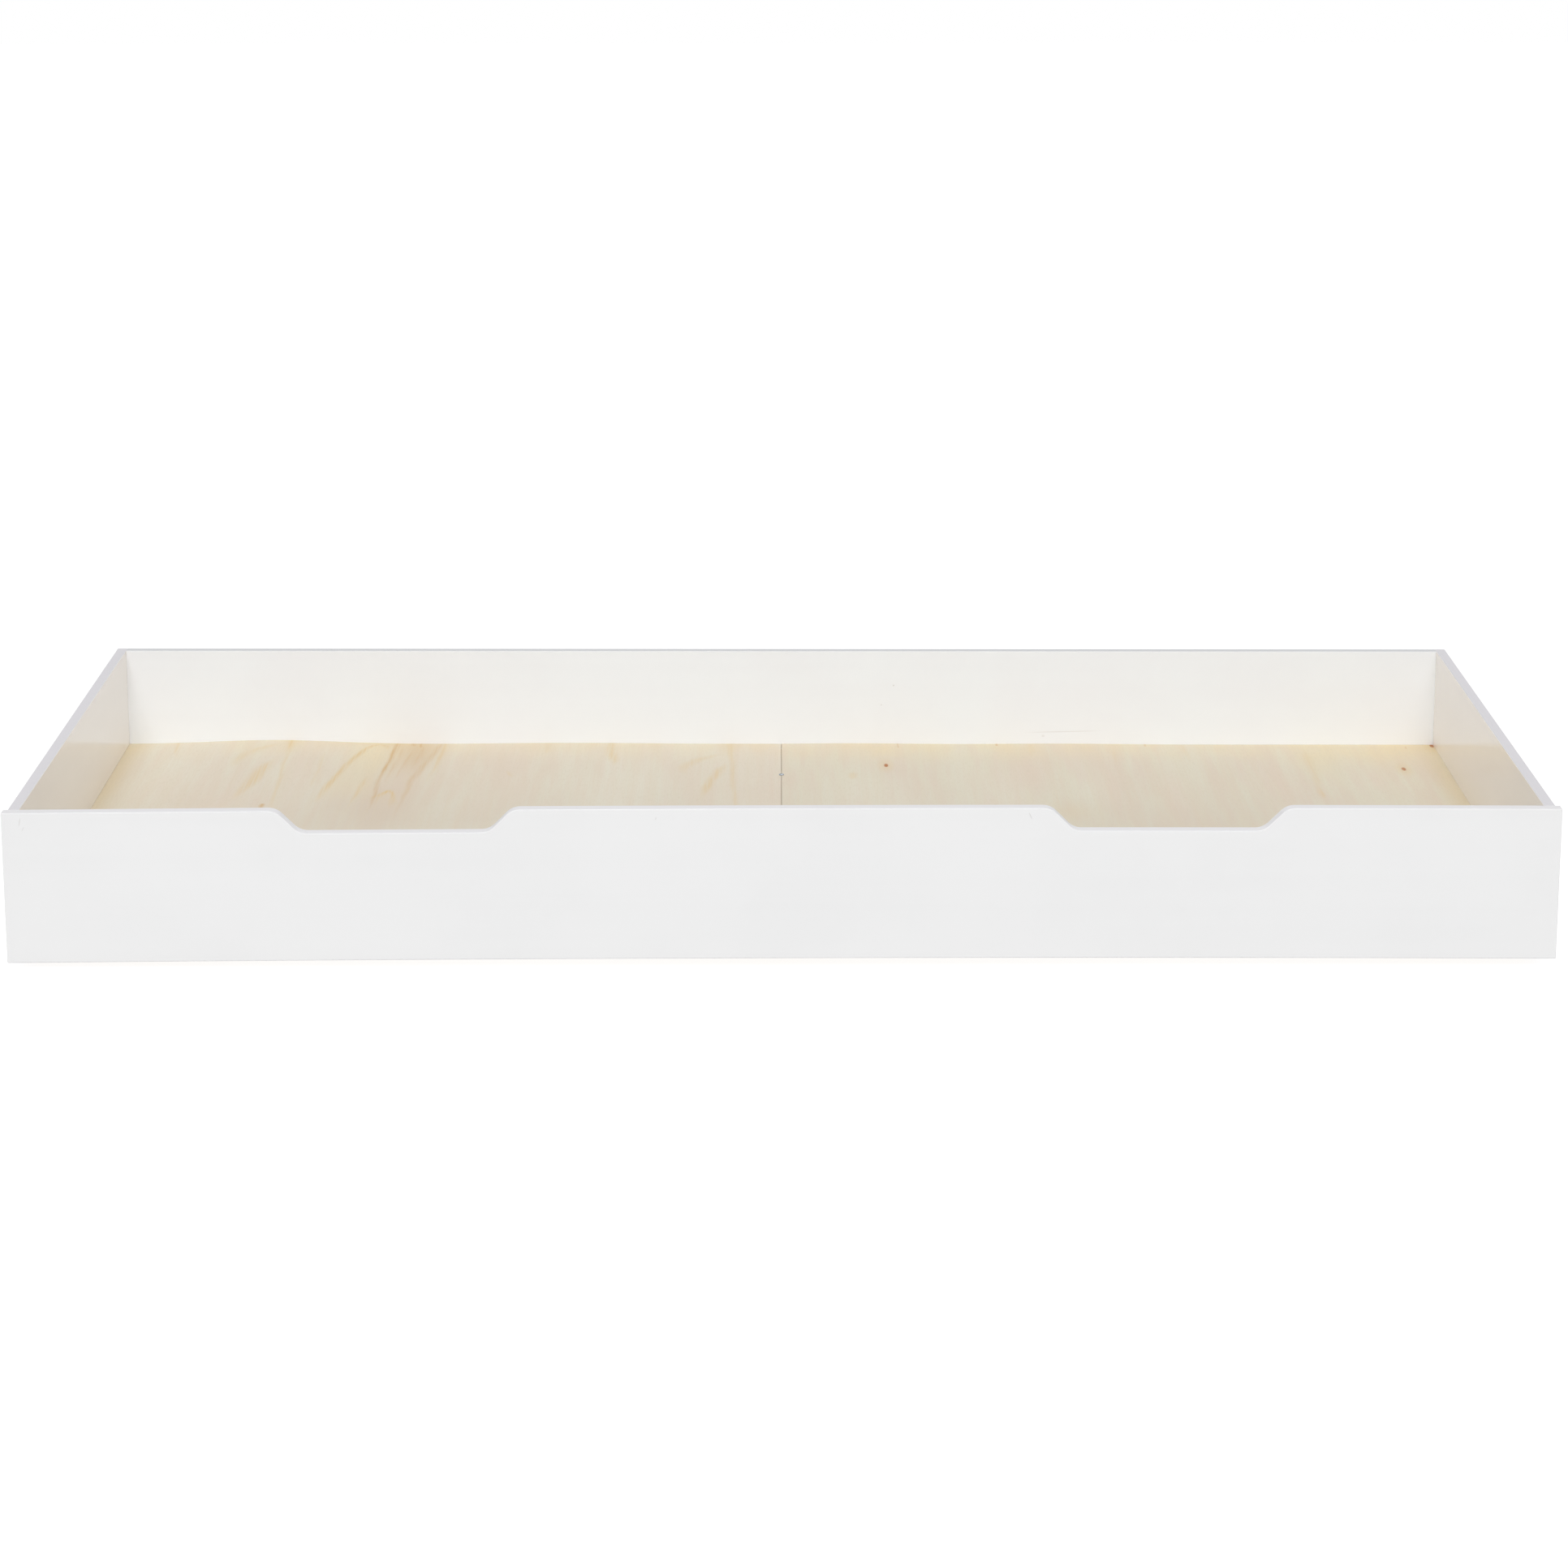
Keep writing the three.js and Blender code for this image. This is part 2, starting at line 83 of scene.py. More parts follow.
def srgb(*levels: int) -> tuple[float, ...]:
    """Turns a display colour into a linear one.

    Args:
        *levels: Red, green and blue, 0 to 255.

    Returns:
        The linear colour with an alpha of 1.
    """
    shares = np.array(levels) / 255.0
    linear = np.where(shares <= 0.04045, shares / 12.92, ((shares + 0.055) / 1.055) ** 2.4)
    return (*linear.tolist(), 1.0)


# ---- Node trees ----------------------------------------------------------------------------------


class Field:
    """A value that varies over a surface: a node's output. Arithmetic on it adds Math nodes."""

    def __init__(self, steps: "Tree", socket: Socket) -> None:
        """Holds an output of a tree."""
        self.steps, self.socket = steps, socket

    def math(self, operation: str, *others: "Value", clamp: bool = False) -> "Field":
        """Adds a Math node of this value and the others, in order."""
        sockets = dict(enumerate((self, *others)))
        return self.steps.field("Math", sockets, operation=operation, use_clamp=clamp)

    def __add__(self, other: "Value") -> "Field":
        """Adds a value."""
        return self.math("ADD", other)

    def __sub__(self, other: "Value") -> "Field":
        """Takes a value away."""
        return self.math("SUBTRACT", other)

    def __mul__(self, other: "Value") -> "Field":
        """Multiplies by a value."""
        return self.math("MULTIPLY", other)

    def __truediv__(self, other: "Value") -> "Field":
        """Divides by a value."""
        return self.math("DIVIDE", other)

    def ramp(self, low: "Value", high: "Value", first: "Value" = 0.0, last: "Value" = 1.0) -> "Field":
        """Goes smoothly from first, where this value is low, to last, where it is high."""
        sockets = {0: self, 1: low, 2: high, 3: first, 4: last}
        return self.steps.field("MapRange", sockets, interpolation_type="SMOOTHSTEP")


Value = Field | float | tuple


def squares(first: Field, second: Field) -> Field:
    """Gives the sum of two values' squares."""
    return first * first + second * second


class Tree:
    """Places nodes in a node tree and joins them, so that a finish reads as a list of steps."""

    def __init__(self, tree: bpy.types.NodeTree) -> None:
        """Takes a node tree and empties it."""
        self.tree = tree
        tree.nodes.clear()

    def feed(self, socket: Socket, value: Value) -> None:
        """Joins a value to an input, or sets the input to a constant.

        Args:
            socket: The input.
            value: A field or a constant.
        """
        if isinstance(value, Field):
            self.tree.links.new(value.socket, socket)
        else:
            socket.default_value = value

    def add(self, kind: str, sockets: dict[str | int, Value] | None = None, **settings) -> bpy.types.Node:
        """Adds a node.

        Args:
            kind: Blender's name of the node, without ShaderNode.
            sockets: What its inputs take, by name or number.
            **settings: The node's own settings.

        Returns:
            The node.
        """
        node = self.tree.nodes.new(f"ShaderNode{kind}")
        for key, setting in settings.items():
            setattr(node, key, setting)
        for key, value in (sockets or {}).items():
            self.feed(node.inputs[key], value)
        return node

    def field(self, kind: str, sockets: dict | None = None, output: str | int = 0, **settings) -> Field:
        """Adds a node and gives one of its outputs."""
        return Field(self, self.add(kind, sockets, **settings).outputs[output])

    def group(self, made: Callable[[], bpy.types.NodeTree], place: Field, **values: Value) -> list[Field]:
        """Places a shared group and gives its outputs."""
        node = self.add("Group", {"place": place, **values}, node_tree=made())
        return [Field(self, output) for output in node.outputs]

    def mix(self, share: Value, first: Value, second: Value) -> Field:
        """Mixes two colours by the share of the second."""
        return self.field("Mix", {0: share, 6: first, 7: second}, 2, data_type="RGBA")

    def noise(self, place: Field, scale: Value, detail: float = 2.0, roughness: float = 0.5) -> Field:
        """Adds a noise pattern, about 0.5 on average, with so many features to the metre."""
        sockets = {"Vector": place, "Scale": scale, "Detail": detail, "Roughness": roughness}
        return self.field("TexNoise", sockets)

    def mapped(self, place: Field, **how: tuple[float, float, float]) -> Field:
        """Shifts a place by its Location, turns it by its Rotation or stretches it by its Scale."""
        return self.field("Mapping", {"Vector": place, **how})

    def axes(self, place: Field) -> list[Field]:
        """Splits a place into its X, Y and Z."""
        return [Field(self, output) for output in self.add("SeparateXYZ", {0: place}).outputs]

    def place(self) -> Field:
        """Gives the place on the piece, in metres."""
        return self.field("TexCoord", output="Object")

    def mark(self, name: str) -> Field:
        """Gives a mark that the mesh carries."""
        return self.field("Attribute", output="Fac", attribute_name=name)

    def surface(self, colour: Field, roughness: Field, height: Field, depth: float,
                specular: float = 0.5, metallic: float = 0.0) -> None:
        """Ends a material: a Principled shader with a bump.

        Args:
            colour: Base colour.
            roughness: Roughness.
            height: Bump height, 0 to 1.
            depth: What a height of 1 stands for, in metres.
            specular: Specular level.
            metallic: 1 for bare metal.
        """
        bump = self.field("Bump", {"Strength": 1.0, "Distance": depth, "Height": height})
        sockets = {"Base Color": colour, "Roughness": roughness, "Normal": bump}
        sockets |= {"Specular IOR Level": specular, "Metallic": metallic}
        shader = self.field("BsdfPrincipled", sockets)
        self.add("OutputMaterial", {"Surface": shader}, is_active_output=True)


def shared_group(build: Callable[..., dict[str, Field]]) -> Callable[[], bpy.types.NodeTree]:
    """Turns a function of fields into a node group that is made once.

    Args:
        build: Takes a tree and the group's inputs, which bear its parameters' names, and gives the
            outputs by name.

    Returns:
        A function that gives the group.
    """

    @functools.cache
    def made() -> bpy.types.NodeTree:
        """Makes the group when it is first asked for.

        Returns:
            The group.
        """
        tree = bpy.data.node_groups.new(build.__name__, "ShaderNodeTree")
        steps = Tree(tree)
        names = [name for name in inspect.signature(build).parameters if name != "steps"]
        for name in names:
            kind = "NodeSocketVector" if name == "place" else "NodeSocketFloat"
            tree.interface.new_socket(name=name, in_out="INPUT", socket_type=kind)
        start = tree.nodes.new("NodeGroupInput")
        results = build(steps, *[Field(steps, start.outputs[name]) for name in names])
        for name in results:
            tree.interface.new_socket(name=name, in_out="OUTPUT", socket_type="NodeSocketFloat")
        end = tree.nodes.new("NodeGroupOutput")
        for name, result in results.items():
            steps.feed(end.inputs[name], result)
        return tree

    return made


@shared_group
def wood_grain(steps: Tree, place: Field, fineness: Field) -> dict[str, Field]:
    """Grain along X: noise drawn out 80 times, fine for the fibres and ten times wider for the bands.

    Args:
        steps: The group's tree.
        place: Where it is read.
        fineness: Fibres to the metre.

    Returns:
        Fibre, band and height.
    """
    drawn = steps.mapped(place, Scale=(0.012, 1.0, 1.0))
    fibre = steps.noise(drawn, fineness, 3.0).ramp(0.3, 0.7)
    band = steps.noise(drawn, fineness * 0.1).ramp(0.32, 0.68)
    return {"fibre": fibre, "band": band, "height": band * 0.25 + fibre * 0.75}


@shared_group
def handling_marks(steps: Tree, place: Field, patches: Field) -> dict[str, Field]:
    """Dust and handling marks: soft patches, so many to the metre, and fine specks."""
    patch = steps.noise(place, patches, 4.0).ramp(0.35, 0.7)
    return {"patch": patch, "speck": steps.noise(place, 420.0, 2.0, 0.6).ramp(0.68, 0.78)}


@shared_group
def rubbed_line(steps: Tree, place: Field, x: Field, z: Field, half_length: Field, half_width: Field,
                turn: Field, strength: Field) -> dict[str, Field]:
    """A faint rubbed line: a round spot that is drawn out and turned.

    Args:
        steps: The group's tree.
        place: Where it is read.
        x, z, half_length, half_width, turn, strength: As in Scuff.

    Returns:
        The mask.
    """
    side, _, up = steps.axes(place)
    aside, above, angle = side - x, up - z, turn.math("RADIANS")
    cos, sin = angle.math("COSINE"), angle.math("SINE")
    along = (aside * cos + above * sin) / (half_length * MM)
    across = (above * cos - aside * sin) / (half_width * MM)
    return {"mask": squares(along, across).ramp(1.0, 0.1, 0.0, strength)}


@shared_group
def soft_cloud(steps: Tree, place: Field, patch: Field, x: Field, y: Field, half_width: Field,
               half_length: Field, strength: Field) -> dict[str, Field]:
    """A soft cloud of another tone: strength * exp(-(dx / half width)^2 - (dy / half length)^2).

    Args:
        steps: The group's tree.
        place: Where it is read.
        patch: A noise that thins it in places.
        x, y, half_width, half_length, strength: As in Cloud.

    Returns:
        The share of the tone.
    """
    across, along, _ = steps.axes(place)
    away = squares((across - x) / half_width, (along - y) / half_length)
    thinned = patch.ramp(0.2, 0.8, strength * 0.6, strength)
    return {"share": (away * -1.0).math("EXPONENT") * thinned}


@shared_group
def figure_line(steps: Tree, place: Field, centre: Field, length: Field, strength: Field, lean: Field,
                bow: Field, back: Field, width: Field, skirt: Field, soft: Field, begin: Field,
                fade: Field) -> dict[str, Field]:
    """A dark line of wood along Y, with a soft skirt on its +X side.

    Its middle is at centre + lean * t + bow * t^2, where t is the way forward from its back end. It
    narrows and fades in over the begin length and out over the fade length.

    Args:
        steps: The group's tree.
        place: Where it is read.
        centre, length, strength, lean, bow, back, width, skirt, soft, begin, fade: As in Streak.

    Returns:
        The mask.
    """
    width, skirt, begin, fade = (size * MM for size in (width, skirt, begin, fade))
    x, y, _ = steps.axes(place)
    way = back - y
    aside = x - ((way * bow + lean) * way + centre)
    ends = (way / begin).ramp(0.0, 1.0) * ((length - way) / fade).ramp(0.0, 1.0)
    core = (aside.math("ABSOLUTE") / ((ends * 0.65 + 0.35) * width)).ramp(1.0, 0.0)
    reach = aside / skirt
    beside = reach.ramp(1.0, 0.0) * reach.math("GREATER_THAN", 0.0) * soft
    return {"mask": core.math("MAXIMUM", beside) * ends * strength}


@shared_group
def flame_loop(steps: Tree, place: Field, centre: Field, tip: Field, half_width: Field, length: Field,
               strength: Field, inside: Field, lean: Field, line: Field, right_share: Field,
               fade: Field) -> dict[str, Field]:
    """A flame of wood figure: a dark loop that opens towards the front, and the tone inside it.

    Half its width is half_width * sqrt(t / length), where t is the way forward from its tip.

    Args:
        steps: The group's tree.
        place: Where it is read.
        centre, tip, half_width, length, strength, inside, lean, line, right_share, fade: As in Flame.

    Returns:
        The line, and what it encloses.
    """
    line = line * MM
    x, y, _ = steps.axes(place)
    way = tip - y
    half = way.math("DIVIDE", length, clamp=True).math("SQRT") * half_width
    across = x - (way * lean + centre)
    aside = across.math("ABSOLUTE") - half
    fading = (length - way).math("DIVIDE", fade, clamp=True) * way.ramp(line * -1.0, line)
    fading = fading * across.ramp(0.004, 0.02, 1.0, 0.0).math("MAXIMUM", right_share)
    loop = (aside.math("ABSOLUTE") / line).ramp(1.0, 0.0) * fading * strength
    return {"line": loop, "inside": aside.ramp(line, line * -1.0) * fading * inside}


@shared_group
def pin_knot(steps: Tree, place: Field, x: Field, y: Field, radius: Field) -> dict[str, Field]:
    """A pin knot, three times as long as it is wide: a small dark core with a faint halo.

    Args:
        steps: The group's tree.
        place: Where it is read.
        x, y, radius: As in Knot.

    Returns:
        Core and halo.
    """
    across, along, _ = steps.axes(place)
    away = squares(across - x, (along - y) / 3.0).math("SQRT") / (radius * MM)
    return {"core": away.ramp(1.15, 0.55), "halo": away.ramp(5.0, 0.8)}


# ---- Finishes ------------------------------------------------------------------------------------


class Grain(Enum):
    """The way that a board's grain runs, as the turn that brings it onto X."""

    ALONG_X = (0.0, 0.0, 0.0)
    ALONG_Y = (0.0, 0.0, math.pi / 2)


class Tone(Enum):
    """The tones that the veneer's figure is drawn in, and the painted shadow that darkens it near the
    front panel.
    """

    BROWN = srgb(213, 175, 119)
    TAN = srgb(226, 197, 140)
    HONEY = srgb(238, 220, 180)
    ROSE = srgb(231, 213, 197)
    PALE = srgb(238, 232, 216)
    DUSK = srgb(208, 186, 164)
    # Painted shadow of the front panel on the veneer.
    WORN = srgb(206, 197, 182)


@dataclass(frozen=True)
class Finish:
    """A surface finish: a name for its material, and the record's slot."""

    name: str
    slot: str

    @functools.cache
    def material(self) -> bpy.types.Material:
        """Builds the finish's material, once.

        Returns:
            The material.
        """
        material = bpy.data.materials.new(self.name)
        material.use_nodes = True
        self.paint(Tree(material.node_tree))
        return material

    def paint(self, steps: Tree) -> None:
        """Fills the material's empty tree. Each finish has its own way."""
        raise NotImplementedError

    def dress(self, piece: Piece) -> None:
        """Gives a piece this finish in place of whatever it has."""
        piece.data.materials.clear()
        piece.data.materials.append(self.material())


@dataclass(frozen=True)
class Scuff:
    """A faint rubbed line on a painted face. Its half length and width are in millimetres."""

    x: float
    z: float
    half_length: float
    half_width: float
    turn: float = 0.0
    strength: float = 0.4


@dataclass(frozen=True)
class WhitePaint(Finish):
    """Satin white paint on a smooth board. Its rims (the upper and lower faces) carry a painted shade,
    and its arrises are greyed by wear in places.
    """

    name: str = "satin_white_paint"
    slot: str = "white_paint"
    grain: Grain = Grain.ALONG_X
    white: tuple = srgb(249, 249, 249)
    shade: tuple = srgb(246, 246, 246)
    # Painted shade: this greyer colour on the rims (the upper and lower faces) stands in for the way
    # light falls on them.
    rim: tuple = srgb(236, 235, 237)
    rubbed: tuple = srgb(206, 203, 200)
    gloss: tuple[float, float] = (0.34, 0.42)
    relief: float = 0.004 * MM
    scuffs: tuple[Scuff, ...] = ()

    def paint(self, steps: Tree) -> None:
        """Mixes the paint: cloudy white, a painted shade on the rims and grey wear on the arrises, rubbed
        in places, over a faint grain.

        Args:
            steps: The material's empty tree.
        """
        place, rim = steps.place(), steps.mark("rim")
        along = steps.mapped(place, Rotation=self.grain.value)
        _, band, grain = steps.group(wood_grain, along, fineness=420.0)
        patch, _ = steps.group(handling_marks, place, patches=7.0)
        cloud = (band * 0.35 + patch).math("MULTIPLY", 0.7, clamp=True)
        # Painted shade on the rims, with grey wear on the arrises in places.
        worn = rim.math("MAXIMUM", steps.mark("arris") * steps.noise(place, 60.0, 3.0) * 0.6)
        colour = steps.mix(worn, steps.mix(cloud, self.white, self.shade), self.rim)
        for scuff in self.scuffs:
            colour = steps.mix(steps.group(rubbed_line, place, **vars(scuff))[0], colour, self.rubbed)
        roughness = patch.ramp(0.0, 1.0, *self.gloss) + rim * 0.35
        steps.surface(colour, roughness, grain * 0.35 + steps.noise(place, 260.0, 1.0), self.relief)


@dataclass(frozen=True)
class Streak:
    """One line of the veneer's figure. Its width, skirt, begin and fade are in millimetres."""

    centre: float
    length: float
    strength: float
    lean: float = 0.0
    bow: float = 0.0
    back: float = 0.47
    width: float = 4.0
    skirt: float = 12.0
    soft: float = 0.4
    begin: float = 12.0
    fade: float = 110.0


@dataclass(frozen=True)
class Flame:
    """One flame of the figure. Its line is in millimetres; right_share is what is left of its +X side."""

    centre: float
    tip: float
    half_width: float
    length: float
    strength: float
    inside: float
    lean: float = 0.0
    line: float = 4.0
    right_share: float = 1.0
    fade: float = 0.1


@dataclass(frozen=True)
class Cloud:
    """One soft cloud of a tone in the veneer."""

    x: float
    y: float
    half_width: float
    half_length: float
    strength: float


@dataclass(frozen=True)
class Knot:
    """One pin knot of the veneer. Its radius is in millimetres."""

    x: float
    y: float
    radius: float = 3.6


@dataclass(frozen=True)
class Veneer(Finish):
    """Clear rotary-cut veneer with its grain along Y, and the plies that show on the sheet's edges."""

    name: str
    slot: str = "plywood"
    seed: tuple[float, float, float] = (0.0, 0.0, 0.0)
    tan: tuple[Streak, ...] = ()
    brown: tuple[Streak, ...] = ()
    flames: tuple[Flame, ...] = ()
    clouds: tuple[tuple[Tone, Cloud], ...] = ()
    knots: tuple[Knot, ...] = ()
    back: float = 0.46
    aged: float = 0.5
    pale: tuple = srgb(231, 225, 208)
    rosy: tuple = srgb(230, 218, 201)
    fibre: tuple = srgb(222, 204, 172)
    fleck: tuple = srgb(214, 203, 178)
    bark: tuple = srgb(180, 108, 52)
    cross: tuple = srgb(205, 178, 140)
    glue: tuple = srgb(150, 112, 76)
    plies: float = 5.0

    def paint(self, steps: Tree) -> None:
        """Mixes the veneer: ground tones, clouds, figure, knots and fibres, and plies on the edges.

        Args:
            steps: The material's empty tree.
        """
        place = steps.place()
        moved = steps.mapped(place, Location=self.seed)
        along = steps.mapped(moved, Rotation=Grain.ALONG_Y.value)
        fibre, band, height = steps.group(wood_grain, along, fineness=560.0)
        slow, quick = (self.drawn(steps, moved, *scale) for scale in ((9.0, 2.0), (62.0, 5.0)))
        blend = (quick * 0.45 + slow * 0.55).ramp(0.38, 0.62)
        colour = self.clouded(steps, moved, place, steps.mix(blend, self.pale, self.rosy))
        colour = self.figured(steps, moved, place, colour)
        colour = steps.mix(band * 0.10 + fibre * 0.16, colour, self.fibre)
        fleck = self.drawn(steps, moved, 420.0, 60.0, roughness=0.6).ramp(0.45, 0.75, 0.0, 0.22)
        colour = self.edged(steps, steps.mix(fleck, colour, self.fleck))
        steps.surface(colour, fibre.ramp(0.0, 1.0, 0.62, 0.54), height, 0.05 * MM, specular=0.3)

    def drawn(self, steps: Tree, moved: Field, across: float, along: float, detail: float = 2.0,
              roughness: float = 0.5) -> Field:
        """Gives a noise with so many features to the metre across the grain and along it."""
        return steps.noise(steps.mapped(moved, Scale=(across, along, 1.0)), 1.0, detail, roughness)

    def clouded(self, steps: Tree, moved: Field, place: Field, ground: Field) -> Field:
        """Lays honey along the back edge, a painted shadow of the front panel that darkens the veneer
        towards the front, and the sheet's own clouds on the ground.

        Args:
            steps: The material's tree.
            moved: The place on the sheet, shifted by the sheet's seed.
            place: The place on the sheet.
            ground: The ground colour.

        Returns:
            The clouded colour.
        """
        _, y, _ = steps.axes(place)
        patch = self.drawn(steps, moved, 18.0, 6.0, 3.0)
        aged = y.ramp(self.back - 0.14, self.back) * patch.ramp(0.3, 0.7, 0.1, self.aged)
        colour = steps.mix(aged, ground, Tone.HONEY.value)
        # Painted shadow: the veneer darkens towards the front panel.
        colour = steps.mix(y.ramp(0.26, -0.04, 0.0, 0.30), colour, Tone.WORN.value)
        for tone, cloud in self.clouds:
            share, = steps.group(soft_cloud, place, patch=patch, **vars(cloud))
            colour = steps.mix(share, colour, tone.value)
        return colour

    def figured(self, steps: Tree, moved: Field, place: Field, ground: Field) -> Field:
        """Lays the flames, streaks and knots over the ground tones.

        Args:
            steps: The material's tree.
            moved: The place on the sheet, shifted by the sheet's seed.
            place: The place on the sheet.
            ground: The ground colour.

        Returns:
            The figured colour.
        """
        wide, fine = (self.drawn(steps, moved, *scale) - 0.5 for scale in ((9.0, 7.0), (70.0, 24.0, 3.0)))
        offset = steps.field("CombineXYZ", {0: wide * (12 * MM) + fine * (5 * MM)})
        swayed = steps.field("VectorMath", {0: place, 1: offset}, operation="ADD")
        strands = self.drawn(steps, moved, 330.0, 9.0).ramp(0.3, 0.65, 0.35, 1.0)
        loops = [steps.group(flame_loop, swayed, **vars(flame)) for flame in self.flames]
        colour = ground
        for _, inside in loops:
            colour = steps.mix(inside, colour, Tone.HONEY.value)
        tan, brown = ([steps.group(figure_line, swayed, **vars(streak))[0] for streak in streaks]
                      for streaks in (self.tan, self.brown))
        for tone, masks in ((Tone.TAN, tan + [line for line, _ in loops]), (Tone.BROWN, brown)):
            if masks:
                share = functools.reduce(Field.__add__, masks).math("MINIMUM", 1.0) * strands
                colour = steps.mix(share, colour, tone.value)
        for knot in self.knots:
            core, halo = steps.group(pin_knot, place, **vars(knot))
            colour = steps.mix(core, steps.mix(halo * 0.28, colour, Tone.TAN.value), self.bark)
        return colour

    def edged(self, steps: Tree, face: Field) -> Field:
        """Shows the plies on the sheet's edges: every other one is end grain, with glue between them.

        Args:
            steps: The material's tree.
            face: The colour of the sheet's faces.

        Returns:
            The colour of the faces and the edges.
        """
        layer = steps.mark("ply_depth") * self.plies
        crossed = (layer + 0.5).math("PINGPONG", 1.0).math("GREATER_THAN", 0.5)
        speckled = crossed * steps.noise(steps.place(), 1500.0)
        glued = layer.math("PINGPONG", 0.5).ramp(0.12, 0.04)
        edge = steps.mix(glued, steps.mix(speckled, face, self.cross), self.glue)
        return steps.mix(steps.mark("ply_edge"), face, edge)


@dataclass(frozen=True)
class Softwood(Finish):
    """Planed, unfinished softwood with growth bands along its grain."""

    name: str = "planed_softwood"
    slot: str = "softwood"
    grain: Grain = Grain.ALONG_X
    early: tuple = srgb(232, 209, 166)
    late: tuple = srgb(205, 164, 108)

    def paint(self, steps: Tree) -> None:
        """Mixes the wood: growth bands from a drawn-out wave, fibres, and a fine saw texture.

        Args:
            steps: The material's empty tree.
        """
        along = steps.mapped(steps.place(), Rotation=self.grain.value)
        fibre, _, height = steps.group(wood_grain, along, fineness=700.0)
        wander = steps.noise(steps.mapped(along, Scale=(0.6, 14.0, 14.0)), 1.0)
        late = (wander * 14.0).math("FRACT").math("POWER", 3.0)
        colour = steps.mix(fibre * 0.2 + late * 0.6, self.early, self.late)
        steps.surface(colour, late.ramp(0.0, 1.0, 0.75, 0.6), height, 0.12 * MM, specular=0.3)


@dataclass(frozen=True)
class ZincSteel(Finish):
    """Bright zinc plate on steel, with a slight bloom and fine draw marks."""

    name: str = "bright_zinc_steel"
    slot: str = "zinc_steel"
    bright: tuple = srgb(206, 211, 218)
    bloom: tuple = srgb(170, 174, 176)

    def paint(self, steps: Tree) -> None:
        """Mixes the plate: bloom in patches, specks of dust, and roughness that follows both.

        Args:
            steps: The material's empty tree.
        """
        place = steps.place()
        patch, speck = steps.group(handling_marks, place, patches=160.0)
        drawn = steps.noise(steps.mapped(place, Scale=(1.0, 0.08, 1.0)), 2600.0)
        roughness = (speck * 0.3).math("ADD", patch * 0.18 + 0.24, clamp=True)
        colour = steps.mix(patch, self.bright, self.bloom)
        steps.surface(colour, roughness, drawn, 0.006 * MM, metallic=1.0)


@dataclass(frozen=True)
class WheelNylon(Finish):
    """Dark moulded nylon, scuffed and dusty where it has rolled."""

    name: str = "dark_wheel_nylon"
    slot: str = "wheel_nylon"
    dark: tuple = srgb(66, 67, 70)
    dust: tuple = srgb(128, 125, 120)

    def paint(self, steps: Tree) -> None:
        """Mixes the nylon: patches of dust and specks over a fine moulded texture.

        Args:
            steps: The material's empty tree.
        """
        place = steps.place()
        patch, speck = steps.group(handling_marks, place, patches=120.0)
        dusty = (patch * 0.25).math("ADD", speck, clamp=True)
        colour = steps.mix(dusty, self.dark, self.dust)
        steps.surface(colour, dusty.ramp(0.0, 1.0, 0.42, 0.8), steps.noise(place, 1800.0), 0.02 * MM)


# ---- Surfaces ------------------------------------------------------------------------------------


def corners(node: str) -> tuple[np.ndarray, np.ndarray]:
    """Gives the lowest and the highest corner of a CAD node's box."""
    low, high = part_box(node)
    return np.array(low), np.array(high)


def middle(node: str) -> np.ndarray:
    """Gives the middle of a CAD node's box."""
    return sum(corners(node)) / 2


def extent(node: str) -> np.ndarray:
    """Gives the size of a CAD node's box."""
    low, high = corners(node)
    return high - low


def arc(radius: float, start: float, end: float, steps: int) -> np.ndarray:
    """Gives points of a round bend: radius times the cosine and sine of evenly spaced degrees."""
    angle = np.radians(np.linspace(start, end, steps + 1))
    return radius * np.stack([np.cos(angle), np.sin(angle)], -1)


def clean(mesh: bpy.types.Mesh) -> None:
    """Merges doubled corners, splits large faces, drops those with no area, and turns the rest outwards.

    Args:
        mesh: The mesh.
    """
    editable = bmesh.new()
    editable.from_mesh(mesh)
    bmesh.ops.remove_doubles(editable, verts=editable.verts, dist=WELD)
    bmesh.ops.dissolve_degenerate(editable, edges=editable.edges, dist=WELD)
    bmesh.ops.triangulate(editable, faces=[face for face in editable.faces if len(face.verts) > 4])
    bmesh.ops.dissolve_degenerate(editable, edges=editable.edges, dist=WELD)
    bmesh.ops.recalc_face_normals(editable, faces=editable.faces)
    editable.to_mesh(mesh)
    editable.free()


def solid(name: str, rings: np.ndarray, caps: list | None = None, **marks: np.ndarray) -> Piece:
    """Makes a piece from closed rings of corners, one after another.

    Args:
        name: The piece's name.
        rings: The corners, by ring, by place on the ring and by axis.
        caps: Faces that close the ends, as corner numbers. None makes each end ring a face.
        **marks: A value for each corner, by the mark's name.

    Returns:
        The piece.
    """
    numbers = np.arange(rings[..., 0].size).reshape(rings.shape[:2])
    after = np.roll(numbers, -1, axis=1)
    faces = np.stack([numbers[:-1], after[:-1], after[1:], numbers[1:]], -1).reshape(-1, 4).tolist()
    faces += numbers[[0, -1]].tolist() if caps is None else caps
    mesh = bpy.data.meshes.new(name)
    mesh.from_pydata(rings.reshape(-1, 3).tolist(), [], faces)
    for label, values in marks.items():
        values = np.broadcast_to(values, numbers.shape).astype(np.float32).reshape(-1)
        mesh.attributes.new(label, "FLOAT", "POINT").data.foreach_set("value", values)
    clean(mesh)
    piece = bpy.data.objects.new(name, mesh)
    bpy.context.scene.collection.objects.link(piece)
    return piece


